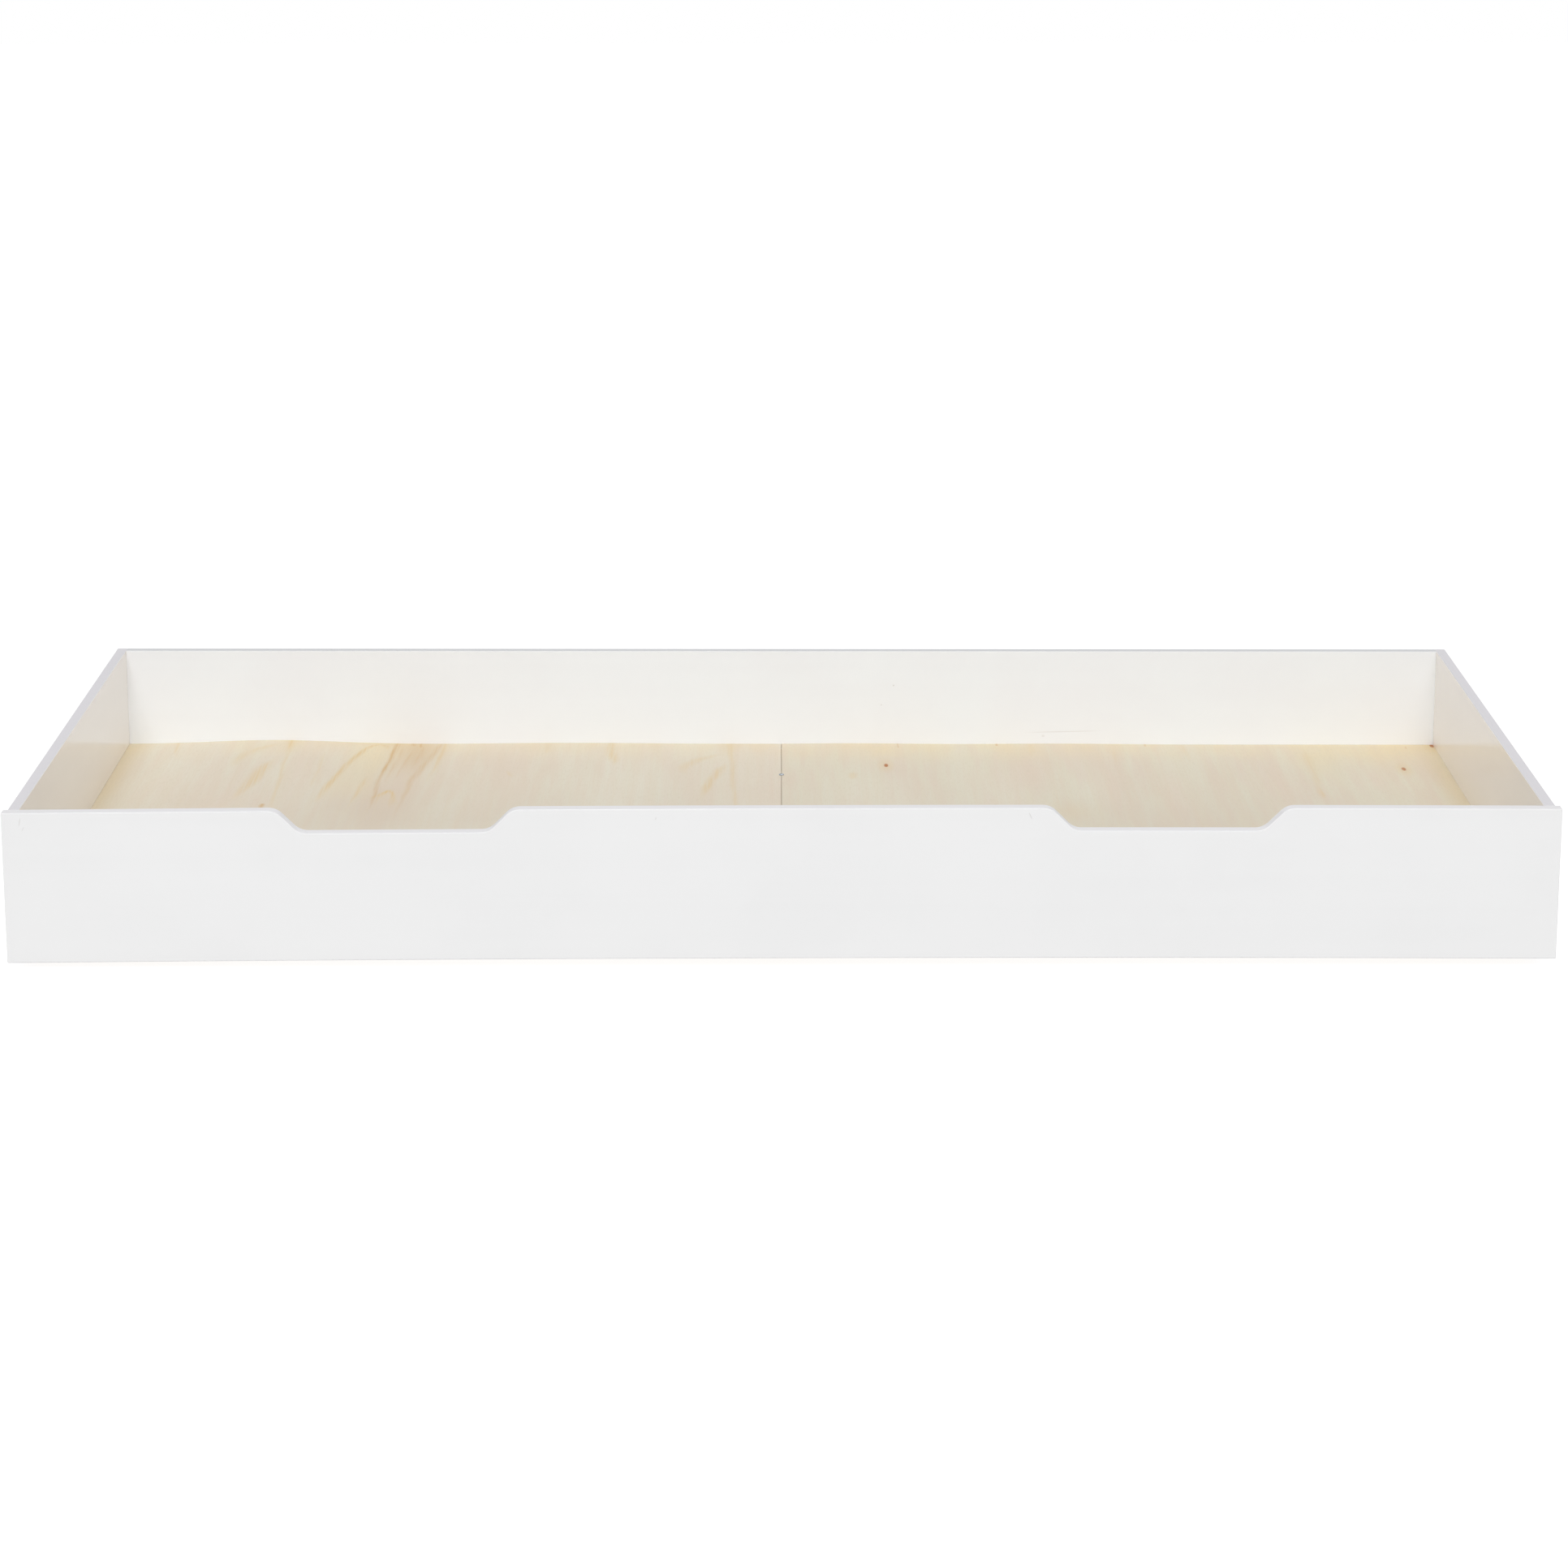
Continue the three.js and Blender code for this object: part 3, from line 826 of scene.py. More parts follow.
def lathed(name: str, profile: np.ndarray, segments: int = 48) -> Piece:
    """Turns a profile about Z: each point at radius r and height h goes round to (r cos a, r sin a, h).

    Args:
        name: The piece's name.
        profile: Radius and height pairs. It starts and ends on the axis, or ends where it starts.
        segments: Steps around.

    Returns:
        The piece.
    """
    angle = np.linspace(0.0, 2.0 * np.pi, segments, endpoint=False)
    radius, height = profile[:, 0, None], profile[:, 1, None]
    rings = np.stack([radius * np.cos(angle), radius * np.sin(angle), height + 0.0 * angle], -1)
    return solid(name, rings, caps=[])


def smoothed(piece: Piece, degrees: float = 32.0) -> Piece:
    """Shades a piece smooth except at its sharp edges, with the normals led by its largest faces.

    Args:
        piece: The piece.
        degrees: Edges that turn more than this stay sharp.

    Returns:
        The same piece.
    """
    piece.data.shade_smooth()
    piece.data.set_sharp_from_angle(angle=math.radians(degrees))
    piece.modifiers.new("even_normals", "WEIGHTED_NORMAL").keep_sharp = True
    return piece


def joined(piece: Piece, others: list[Piece], operation: str = "DIFFERENCE") -> Piece:
    """Cuts other shapes out of a piece, or joins them to it, and removes them.

    Args:
        piece: The piece that stays.
        others: Closed shapes.
        operation: DIFFERENCE or UNION.

    Returns:
        The same piece with its new mesh.
    """
    for other in others:
        step = piece.modifiers.new("joined", "BOOLEAN")
        step.operation, step.solver, step.object = operation, "EXACT", other
    graph = bpy.context.evaluated_depsgraph_get()
    mesh = bpy.data.meshes.new_from_object(piece.evaluated_get(graph), depsgraph=graph)
    piece.modifiers.clear()
    clean(mesh)
    piece.data = mesh
    for other in others:
        bpy.data.objects.remove(other)
    return piece


def placed(piece: Piece, place: Matrix) -> Piece:
    """Moves a piece's mesh, and leaves its object at the origin."""
    piece.data.transform(place)
    return piece


def copied(pattern: Piece, name: str, place: Matrix) -> Piece:
    """Makes a placed copy of a pattern.

    Args:
        pattern: The pattern.
        name: The copy's name.
        place: Where the pattern's origin and axes go.

    Returns:
        The copy.
    """
    copy = pattern.copy()
    copy.data = pattern.data.copy()
    copy.name = copy.data.name = name
    bpy.context.scene.collection.objects.link(copy)
    return placed(copy, place)


def facing(x: float, y: float, z: float) -> Matrix:
    """Gives the turn that brings +Z onto a direction."""
    return Vector((0.0, 0.0, 1.0)).rotation_difference(Vector((x, y, z))).to_matrix().to_4x4()


def seat(node: str, outward: int) -> Matrix:
    """Gives the place of a fastener along X, whose +Z goes onto its outer face: outward is 1 for +X."""
    face = corners(node)[max(outward, 0)][0]
    return Matrix.Translation((face, *middle(node)[1:])) @ facing(outward, 0.0, 0.0)


def stand_for(piece: Piece, node: str, finish: Finish, body: str = "box") -> None:
    """Finishes a piece: it replaces a CAD node, rides on its body and takes its finish.

    Args:
        piece: The piece.
        node: The CAD node.
        finish: Its finish.
        body: The body that it rides on.
    """
    finish.dress(piece)
    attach(piece, body)
    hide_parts(node)
    LOG.info("%s stands for %s on %s", piece.name, node, body)


# ---- The box -------------------------------------------------------------------------------------


@dataclass(frozen=True)
class Settling:
    """The slight set that a box of thin boards takes: a twist, and a bow along its front."""

    front: float
    back: float
    half_length: float
    twist: float = 1.8 * MM
    front_bow: float = 3.6 * MM

    def lift(self, x: np.ndarray, y: np.ndarray) -> np.ndarray:
        """Gives how much each place is lifted.

        With s as x over half the length, the front edge lifts by twist * s + front_bow * (1/3 - s^2),
        and the back edge by -twist * s. Places between them mix the two by their depth.

        Args:
            x: Places along the length.
            y: Places along the depth.

        Returns:
            The lift at each place.
        """
        s = x / self.half_length
        depth = np.clip((y - self.front) / (self.back - self.front), 0.0, 1.0)
        front = self.twist * s + self.front_bow * (1.0 / 3.0 - s**2)
        return front * (1.0 - depth) - self.twist * s * depth

    def settle(self, points: np.ndarray) -> np.ndarray:
        """Lifts points to where the settled box has them."""
        return points + self.lift(points[..., :1], points[..., 1:2]) * (0.0, 0.0, 1.0)


@dataclass
class Board:
    """A straight board with rounded arrises that fills a CAD node's box.

    Its path has a row for each ring: its place along the board, its upper and lower face, and the way
    out of the upper face, along and up. Bends are the steps round an arris, and spans those along.
    """

    node: str
    along: int = 0
    arris: float = 1.2 * MM
    end_arris: float = 0.6 * MM
    bends: int = 5
    end_bends: int = 3
    spans: int = 25

    def __post_init__(self) -> None:
        """Reads the corners of the node's box."""
        self.low, self.high = corners(self.node)

    def level(self, places: np.ndarray, height: float) -> np.ndarray:
        """Gives rows of the path where the upper face is level at a height."""
        return np.column_stack([places, np.tile([height, self.low[2], 0.0, 1.0], (len(places), 1))])

    def path(self) -> np.ndarray:
        """Gives rows from end to end, as the class says."""
        places = np.linspace(self.low[self.along], self.high[self.along], self.spans + 1)
        return self.level(places, self.high[2])

    def stations(self) -> tuple[np.ndarray, np.ndarray]:
        """Rounds the ends of the path.

        An end ring at turn t lies end_arris * (1 - sin t) in from the end, and is smaller all round by
        end_arris * (1 - cos t).

        Returns:
            The path with its end rings, and how much smaller each ring is.
        """
        turn = np.radians(np.linspace(90.0, 0.0, self.end_bends + 1))
        inward, inset = self.end_arris * (1 - np.sin(turn)), self.end_arris * (1 - np.cos(turn))
        path = self.path()
        first, last = (np.repeat(path[[end]], len(turn), 0) for end in (0, -1))
        first[:, 0] += inward
        last[:, 0] -= inward[::-1]
        insets = np.concatenate([inset, np.zeros(len(path) - 2), inset[::-1]])
        return np.concatenate([first, path[1:-1], last]), insets

    def piece(self, name: str, settling: Settling | None = None) -> Piece:
        """Builds the board: a rectangle with round corners that is carried along the path.

        A corner's point at angle a lies radius * cos a across from the corner's centre, and
        radius * |sin a| out from it. The rim mark is |sin a|, so it is 1 on the upper and lower faces;
        the arris mark is 1 half-way round a corner.

        Args:
            name: The piece's name.
            settling: The box's set, if the board shares it.

        Returns:
            The piece.
        """
        path, inset = self.stations()
        place, upper, lower, ahead, up = path.T[:, :, None]
        radius = (self.arris - inset)[:, None]
        quarter = np.linspace(0.0, 90.0, self.bends + 1)
        angle = np.radians(np.concatenate([quarter + start for start in (0, 90, 180, 270)]))
        above, far = (np.repeat(sides, len(quarter)) for sides in ((1, 1, 0, 0), (1, 0, 0, 1)))
        out = radius * np.abs(np.sin(angle)) - self.arris
        across = 1 - self.along
        near, other = self.low[across] + self.arris, self.high[across] - self.arris
        points = np.zeros((*out.shape, 3))
        points[..., self.along] = place + above * out * ahead
        points[..., across] = np.where(far, other, near) + radius * np.cos(angle)
        points[..., 2] = np.where(above, upper + out * up, lower - out)
        if settling:
            points = settling.settle(points)
        arris = np.tile(np.sin(np.radians(2 * quarter)), 4)
        return solid(name, points, arris=arris, rim=np.abs(np.sin(angle)))


@dataclass
class LappedBatten(Board):
    """A board whose faces step at laps. A stretch is where it starts, its lower and its upper face."""

    stretches: tuple[tuple[float, float, float], ...] = ()

    def path(self) -> np.ndarray:
        """Gives two rows to each stretch, one at its start and one at its end.

        Returns:
            Rows as for any board.
        """
        starts, lower, upper = np.array(self.stretches).T
        place = np.repeat([*starts, self.high[self.along]], 2)[1:-1]
        level = np.zeros(len(place))
        return np.stack([place, np.repeat(upper, 2), np.repeat(lower, 2), level, level + 1.0], -1)


@dataclass
class FrontPanel(Board):
    """The front panel: a board with two hand cut-outs in its top edge, each between two S-curves."""

    node: str = "front_panel"
    arris: float = 1.1 * MM
    end_arris: float = 1.1 * MM
    bends: int = 6
    end_bends: int = 6
    spacing: float = 994 * MM
    width: float = 273 * MM
    depth: float = 30 * MM
    slope: float = 45.0
    bend: float = 25 * MM
    bend_steps: int = 12
    level_step: float = 25 * MM

    def s_curve(self, place: float, side: int) -> np.ndarray:
        """Gives one end of a cut-out: a bend over the crest, a straight slope, and a bend at the foot.

        Both bends have the same radius. They are a centre plus the radius times (cos a, sin a).

        Args:
            place: The middle of the slope.
            side: -1 where the edge goes down, 1 where it comes up again, as the mirror image.

        Returns:
            Rows of the path, from left to right.
        """
        crest = arc(1.0, 90.0, 90.0 - self.slope, self.bend_steps)
        foot = arc(1.0, -90.0 - self.slope, -90.0, self.bend_steps)
        turn = math.radians(self.slope)
        fall = self.depth - 2 * self.bend * (1 - math.cos(turn))
        reach = self.bend * math.sin(turn) + fall / math.tan(turn) / 2
        crest_centre, foot_centre = (-reach, -self.bend), (reach, self.bend - self.depth)
        edge = np.concatenate([self.bend * crest + crest_centre, self.bend * foot + foot_centre])
        mirror = (-side, 1.0)
        edge = edge[::-side] * mirror + (place, self.high[2])
        outward = np.concatenate([crest, -foot])[::-side] * mirror
        return np.column_stack([edge, np.full(len(edge), self.low[2]), outward])

    def path(self) -> np.ndarray:
        """Gives rows along the top edge and its cut-outs: level stretches between the S-curves.

        Returns:
            Rows as for any board.
        """
        top, step = self.high[2], self.level_step
        first, last = (self.level(end[:1], top) for end in (self.low, self.high))
        parts, reached = [first], self.low[0] + self.arris
        for centre in (-self.spacing / 2, self.spacing / 2):
            for side in (-1, 1):
                curve = self.s_curve(centre + side * self.width / 2, side)
                x, z = curve[0, :2]
                parts += [self.level(np.arange(reached, x, step)[1:], z), curve]
                reached = curve[-1, 0]
        beyond = np.arange(reached, self.high[0] - self.arris, step)[1:]
        return np.concatenate([*parts, self.level(beyond, top), last])


@dataclass
class Box:
    """The four painted panels, with bores in the side panels for the fasteners that show."""

    settling: Settling
    clearance: float = 0.3 * MM
    screw_depth: float = 4 * MM
    cam_depth: float = 12.8 * MM

    def bore(self, node: str, outward: int, depth: float) -> Piece:
        """Makes the cutter for a fastener: round, and 1 mm past the face that it is let into.

        Args:
            node: The fastener's node.
            outward: The way that the face looks, 1 for +X.
            depth: Depth of the bore.

        Returns:
            The cutter.
        """
        radius, past = extent(node)[2] / 2 + self.clearance, 1 * MM
        profile = np.array([[0.0, -depth], [radius, -depth], [radius, past], [0.0, past]])
        return placed(lathed("bore", profile), seat(node, outward))

    def panel(self, board: Board, finish: Finish, bores: list[Piece]) -> None:
        """Builds a panel and cuts its bores."""
        piece = board.piece(f"painted_{board.node}", self.settling)
        stand_for(smoothed(joined(piece, bores) if bores else piece), board.node, finish)

    def build(self) -> None:
        """Builds the front panel, the two side panels and the back panel."""
        self.panel(FrontPanel(), FRONT_PAINT, [])
        for hand, side in HANDS:
            bores = []
            for level in ("lower", "upper"):
                bores.append(self.bore(f"{hand}_{level}_panel_screw", side, self.screw_depth))
                bores.append(self.bore(f"{hand}_{level}_cam_disc", -side, self.cam_depth))
            self.panel(Board(f"{hand}_side_panel", along=1), SIDE_PAINT, bores)
        self.panel(Board("back_panel", end_arris=0.2 * MM), BACK_PAINT, [])


@dataclass(frozen=True)
class Swell:
    """A place where a bottom sheet has bowed up."""

    x: float
    reach: float
    rise: float


@dataclass
class BottomSheet:
    """One of the two plywood sheets, lying on the ledgers and rails with a slight bow.

    Each swell adds rise * exp(-((x - its x) / reach)^2) to the ease, and the sum fades forward from
    the back edge by exp(-(way forward / fade)^2).
    """

    hand: str
    settling: Settling
    finish: Veneer
    swells: tuple[Swell, ...]
    ease: float = 1.4 * MM
    fade: float = 330 * MM
    columns: int = 150
    rows: int = 70
    arris: float = 0.15 * MM
    nick: float = 0.045 * MM
    seam_reach: float = 0.75 * MM

    def bow(self, x: np.ndarray, y: np.ndarray, back: float) -> np.ndarray:
        """Gives how far the sheet bows up at each place, from where its back edge is."""
        total = self.ease + sum(s.rise * np.exp(-(((x - s.x) / s.reach) ** 2)) for s in self.swells)
        return total * np.exp(-(((back - y) / self.fade) ** 2))

    def box(self) -> tuple[np.ndarray, np.ndarray]:
        """Gives the sheet's corners: it reaches the panels around it, and past the middle of the seam.

        Returns:
            The lowest and the highest corner.
        """
        low, high = corners(f"{self.hand}_bottom_sheet")
        low[1], high[1] = corners("front_panel")[1][1], corners("back_panel")[0][1]
        if self.hand == "left":
            low[0], high[0] = corners("left_side_panel")[1][0], high[0] + self.seam_reach
        else:
            low[0], high[0] = low[0] - self.seam_reach, corners("right_side_panel")[0][0]
        return low, high

    def build(self) -> None:
        """Builds the sheet from rings that run over the upper face and back along the lower one.

        A ring is a rectangle whose corners are nicked. The rings at the front and back ends are held
        inside a rectangle that is smaller by the arris, which rounds those arrises as well.
        """
        (left, front, bottom), (right, back, top) = self.box()
        arris, nick, width = self.arris, self.nick, self.columns
        x = np.linspace(left + arris, right - arris, width)
        right_edge = [right - nick, right, right, right - nick]
        left_edge = [left + nick, left, left, left + nick]
        down = [top - nick, top - arris, bottom + arris, bottom + nick]
        across = np.concatenate([x, right_edge, x[::-1], left_edge])
        height = np.concatenate([np.full(width, top), down, np.full(width, bottom), down[::-1]])
        inner = np.linspace(front + arris, back - arris, self.rows)
        depth = np.concatenate([[front, front + nick], inner, [back - nick, back]])
        inset = np.concatenate([[arris, nick], np.zeros(self.rows), [nick, arris]])[:, None]
        points = np.zeros((len(depth), len(across), 3))
        points[..., 0] = np.clip(across, left + inset, right - inset)
        points[..., 1] = depth[:, None]
        points[..., 2] = np.clip(height, bottom + inset, top - inset)
        plies = (top - points[..., 2]) / (top - bottom)
        on_edge = np.ones(plies.shape)
        for start in (0, width + 4):
            on_edge[2:-2, start : start + width] = 0.0
        points[..., 2] += self.bow(points[..., 0], points[..., 1], back)
        upper = np.arange(width - 1)
        lower = 2 * width + 3 - upper
        cap = np.stack([upper, upper + 1, lower - 1, lower], -1)
        caps = np.concatenate([cap, cap + (len(depth) - 1) * len(across)]).tolist()
        node = f"{self.hand}_bottom_sheet"
        points = self.settling.settle(points)
        piece = solid(f"veneered_{node}", points, caps, ply_edge=on_edge, ply_depth=plies)
        stand_for(smoothed(piece), node, self.finish)


@dataclass
class Underframe:
    """The ledgers and rails under the sheets."""

    clearance: float = 0.3 * MM

    def build(self) -> None:
        """Builds the seven battens, with the laps where rails and ledgers cross."""
        rails = [f"{station}_rail" for station in STATIONS]
        along_x, along_y = Softwood(), Softwood(name="softwood_rails", grain=Grain.ALONG_Y)
        (_, start, bottom), (_, _, top) = corners("centre_rail")
        half = (bottom + top) / 2
        first = corners("front_ledger")[1][1] + self.clearance
        second = corners("back_ledger")[0][1] - self.clearance
        laps = ((start, bottom, half), (first, bottom, top), (second, bottom, half))
        battens = [(LappedBatten(rail, along=1, stretches=laps), along_y) for rail in rails]
        for ledger in ("front_ledger", "back_ledger"):
            stretches = [(corners(ledger)[0][0], bottom, top)]
            for left, right in (corners(rail) for rail in rails):
                stretches.append((left[0] - self.clearance, half, top))
                stretches.append((right[0] + self.clearance, bottom, top))
            battens.append((LappedBatten(ledger, stretches=tuple(stretches)), along_x))
        battens += [(Board(f"{hand}_ledger", along=1), along_y) for hand, _ in HANDS]
        for batten, finish in battens:
            stand_for(smoothed(batten.piece(f"planed_{batten.node}")), batten.node, finish)


# ---- Fasteners and casters -----------------------------------------------------------------------


@dataclass
class CrossRecess:
    """A cross recess about Z: two bars that narrow downwards.

    Reach and arm are the length and width of a bar, and the top is 1 mm above the face that it cuts.
    """

    reach: float
    arm: float
    depth: float
    face: float = 0.0

    def cutters(self) -> list[Piece]:
        """Makes the cutters of both bars.

        Returns:
            The cutters.
        """
        rectangle = np.array([[-1, -1], [1, -1], [1, 1], [-1, 1]]) * (self.reach / 2, self.arm / 2)
        levels = ((self.face - self.depth, 0.5), (self.face + 1 * MM, 1.0))
        rings = np.stack([np.column_stack([rectangle * share, [height] * 4]) for height, share in levels])
        turns = (0.0, math.pi / 2)
        return [placed(solid("arm", rings), Matrix.Rotation(turn, 4, "Z")) for turn in turns]


def thread(length: float, pitch: float, crest: float, root: float, plain: float) -> np.ndarray:
    """Gives a thread's profile, from its length up to its plain part: radii of crests and roots."""
    depth = np.arange(length, plain, -pitch / 2)
    return np.stack([np.where(np.arange(len(depth)) % 2 == 0, crest, root), -depth], -1)


@dataclass
class PanHeadScrew:
    """A pan head screw with a cross recess. Its head sits on Z = 0 and its shank goes down."""

    shank: float
    head: float
    rise: float
    length: float

    def pattern(self, name: str) -> Piece:
        """Builds the screw: a domed head, a thread whose ridges run round, and a point.

        The dome's height at a share s of the head's radius is rise * (0.45 + 0.55 * (1 - s^4)).

        Args:
            name: The pattern's name.

        Returns:
            The pattern, at the origin.
        """
        shank, head, rise, length = self.shank, self.head, self.rise, self.length
        tip = [[0.0, -length], [0.2 * shank, 0.5 * shank - length]]
        ridges = thread(length - shank, 0.45 * shank, 0.5 * shank, 0.36 * shank, 0.45 * shank)
        collar = [[0.4 * shank, 0.0], [0.47 * head, 0.0], [0.5 * head, 0.2 * rise]]
        share = np.linspace(1.0, 0.0, 10)
        dome = np.stack([0.5 * head * share, rise * (0.45 + 0.55 * (1 - share**4))], -1)
        screw = lathed(name, np.concatenate([tip, ridges, collar, dome]), 32)
        recess = CrossRecess(0.54 * head, 0.55 * MM, 1.3 * MM, rise)
        return smoothed(joined(screw, recess.cutters()), 40.0)


@dataclass
class SeamScrews:
    """The screws that hold both sheets down on the centre rail."""

    settling: Settling
    sheet: BottomSheet
    shank: float = 3 * MM
    plate: ZincSteel = ZincSteel("dull_zinc_steel", bright=srgb(198, 205, 213), bloom=srgb(160, 166, 173))

    def build(self) -> None:
        """Builds the three screws, each turned a little differently, on the bowed and settled sheets."""
        _, (_, back, deck) = corners("left_bottom_sheet")
        for count, row in enumerate(("front", "middle", "back")):
            node = f"seam_screw_{row}"
            (left, _, bottom), (right, _, top) = corners(node)
            x, y, _ = middle(node)
            lift = self.settling.lift(x, y) + self.sheet.bow(x, y, back)
            screw = PanHeadScrew(self.shank, right - left, top - deck, deck - bottom)
            place = Matrix.Translation((x, y, deck + lift)) @ Matrix.Rotation(0.4 + count, 4, "Z")
            stand_for(placed(screw.pattern(f"pan_head_{node}"), place), node, self.plate)


@dataclass
class CornerFasteners:
    """The fasteners that join the panels: screws at the back corners, cams and bolts at the front."""

    bevel: float = 0.6 * MM

    def screw_pattern(self, radius: float, length: float) -> Piece:
        """Builds a connecting screw: a flat head with a hexagonal socket, and a coarse thread.

        Args:
            radius: The head's radius.
            length: The whole screw.

        Returns:
            The pattern. The head's face is at Z = 0 and looks up.
        """
        tip = np.array([[0.0, 0.0], [2.0, 4.0]]) * MM - (0.0, length)
        ridges = thread(length - 6 * MM, 3 * MM, 3.5 * MM, 2.6 * MM, 6 * MM)
        neck = np.array([[2.8, -5.0], [2.8, -4.0]]) * MM
        head = np.array([[0.0, -4.0], [0.0, -0.5], [-0.5, 0.0]]) * MM + (radius, 0.0)
        screw = lathed("connecting_screw", np.concatenate([tip, ridges, neck, head, [[0.0, 0.0]]]))
        socket = lathed("socket", np.array([[0.0, -2.4], [2.0, -2.4], [2.0, 1.0], [0.0, 1.0]]) * MM, 6)
        return smoothed(joined(screw, [socket]), 40.0)

    def cam_pattern(self, radius: float, depth: float) -> Piece:
        """Builds a cam disc: a short cylinder with a bevelled face and a cross slot.

        Args:
            radius: The disc's radius.
            depth: Its depth.

        Returns:
            The pattern. Its face is at Z = 0 and looks up.
        """
        edge = [[radius, -depth], [radius, -self.bevel], [radius - self.bevel, 0.0]]
        disc = lathed("cam_disc", np.array([[0.0, -depth], *edge, [0.0, 0.0]]))
        slot = CrossRecess(6.48 * MM, 1.4 * MM, 2.2 * MM)
        return smoothed(joined(disc, slot.cutters()), 40.0)

    def build(self) -> None:
        """Builds four connecting screws and four cam discs, and finishes the four hidden bolts."""
        patterns = []
        for kind, make in (("panel_screw", self.screw_pattern), ("cam_disc", self.cam_pattern)):
            length, _, height = extent(f"left_lower_{kind}")
            patterns.append((kind, make(height / 2, length)))
        for hand, side in HANDS:
            for level, turn in (("lower", 0.3), ("upper", 1.1)):
                for (kind, pattern), outward in zip(patterns, (side, -side)):
                    node = f"{hand}_{level}_{kind}"
                    place = seat(node, outward) @ Matrix.Rotation(turn * side, 4, "Z")
                    stand_for(copied(pattern, f"plated_{node}", place), node, ZincSteel())
                ZincSteel().dress(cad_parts[f"{hand}_{level}_cam_bolt"])
        for _, pattern in patterns:
            bpy.data.objects.remove(pattern)


@dataclass
class Caster:
    """The patterns of a fixed caster: a pressed bracket, a ribbed wheel on a riveted axle, and a screw.

    Their sizes come from the boxes of one caster's nodes. Rib and rib_bend are half the width of a
    rib's top and the width of its flank; hub and rim are where the dish between the ribs ends.
    """

    name: str = "left_front_caster"
    gauge: float = 2 * MM
    axle: float = 5 * MM
    play: float = 0.3 * MM
    hub: float = 8 * MM
    rim: float = 4.5 * MM
    crown: float = 2.5 * MM
    recess: float = 3.2 * MM
    dish_bend: float = 1.2 * MM
    rib: float = 0.8 * MM
    rib_bend: float = 0.6 * MM
    ribs: int = 6
    side_room: float = 1 * MM
    leg: float = 36 * MM
    tip: float = 8 * MM
    corner: float = 7 * MM
    bevel: float = 0.25 * MM
    hole_pitch: float = 60 * MM
    hole: float = 2.3 * MM
    axle_hole: float = 2.6 * MM
    dome: float = 1.6 * MM

    def __post_init__(self) -> None:
        """Reads the wheel's width and radius, and the height of the plate's underside above the axle."""
        self.width, _, across = extent(f"{self.name}_wheel")
        self.radius = across / 2
        under = corners(f"{self.name}_bracket")[1][2] - self.gauge
        self.plate_low = under - middle(f"{self.name}_wheel")[2]

    def wheel(self) -> Piece:
        """Builds the wheel about X: a closed section that goes round, dished between its ribs.

        The section runs over one face, the crowned tread and the other face. A face's depth at radius r
        and angle a is recess * dish(r) * (1 - rib(a)), where dish rises smoothly between hub and rim
        and rib is 1 near each rib's line.

        Returns:
            The pattern.
        """
        half, rim, crown = self.width / 2, self.radius - self.rim, self.crown
        faced = np.linspace(self.hub - 1 * MM, rim + 1 * MM, 16)
        radius = np.array([self.axle / 2 + self.play, *faced, self.radius - crown])
        rise = np.clip((radius - self.hub) / self.dish_bend, 0.0, 1.0)
        fall = np.clip((rim - radius) / self.dish_bend, 0.0, 1.0)
        dish = rise**2 * (3 - 2 * rise) * fall**2 * (3 - 2 * fall)
        angle = np.linspace(0.0, 2 * np.pi, 24 * self.ribs, endpoint=False)
        away = np.abs((angle * self.ribs / (2 * np.pi) + 0.5) % 1.0 - 0.5) * 2 * np.pi / self.ribs
        rib = np.clip(1.0 - (away * radius[:, None] - self.rib) / self.rib_bend, 0.0, 1.0)
        face = half - self.recess * dish[:, None] * (1.0 - rib)
        bend = arc(crown, 0.0, 90.0, 5)[1:-1]
        tread = np.array([*bend, [0.0, crown], [-crown, crown]]) + (half - crown, self.radius - crown)
        side = np.concatenate([face, np.repeat(tread[:, :1], len(angle), 1)])
        way = np.concatenate([radius, tread[:, 1]])
        side, way = np.concatenate([side, -side[::-1]]), np.concatenate([way, way[::-1]])[:, None]
        rings = np.stack([side, way * np.cos(angle), way * np.sin(angle)], -1)
        return smoothed(solid("ribbed_wheel", np.concatenate([rings, rings[:1]]), caps=[]), 40.0)

    def slab(self, outline: np.ndarray, low: float, turn: Matrix) -> Piece:
        """Makes a plate of the bracket's gauge from a convex outline, its edges broken by a small bevel.

        The rings are the outline drawn in by the bevel, the outline twice, and the first again.

        Args:
            outline: Points of the outline.
            low: Height of the lower face.
            turn: Turn applied to the finished plate.

        Returns:
            The plate.
        """
        ahead = np.roll(outline, -1, 0) - np.roll(outline, 1, 0)
        outward = np.stack([ahead[:, 1], -ahead[:, 0]], -1)
        drawn = outline - self.bevel * outward / np.linalg.norm(outward, axis=1, keepdims=True)
        high, bevel = low + self.gauge, self.bevel
        levels = ((drawn, low), (outline, low + bevel), (outline, high - bevel), (drawn, high))
        rings = [np.column_stack([ring, np.full(len(ring), level)]) for ring, level in levels]
        return placed(solid("slab", np.stack(rings)), turn)

    def hole_cutter(self, radius: float, place: Matrix) -> Piece:
        """Makes the cutter for a hole: round, from 20 mm below its place to 40 mm above it."""
        profile = np.array([[0.0, -20.0], [1.0, -20.0], [1.0, 40.0], [0.0, 40.0]]) * (radius, MM)
        return placed(lathed("hole", profile), place)

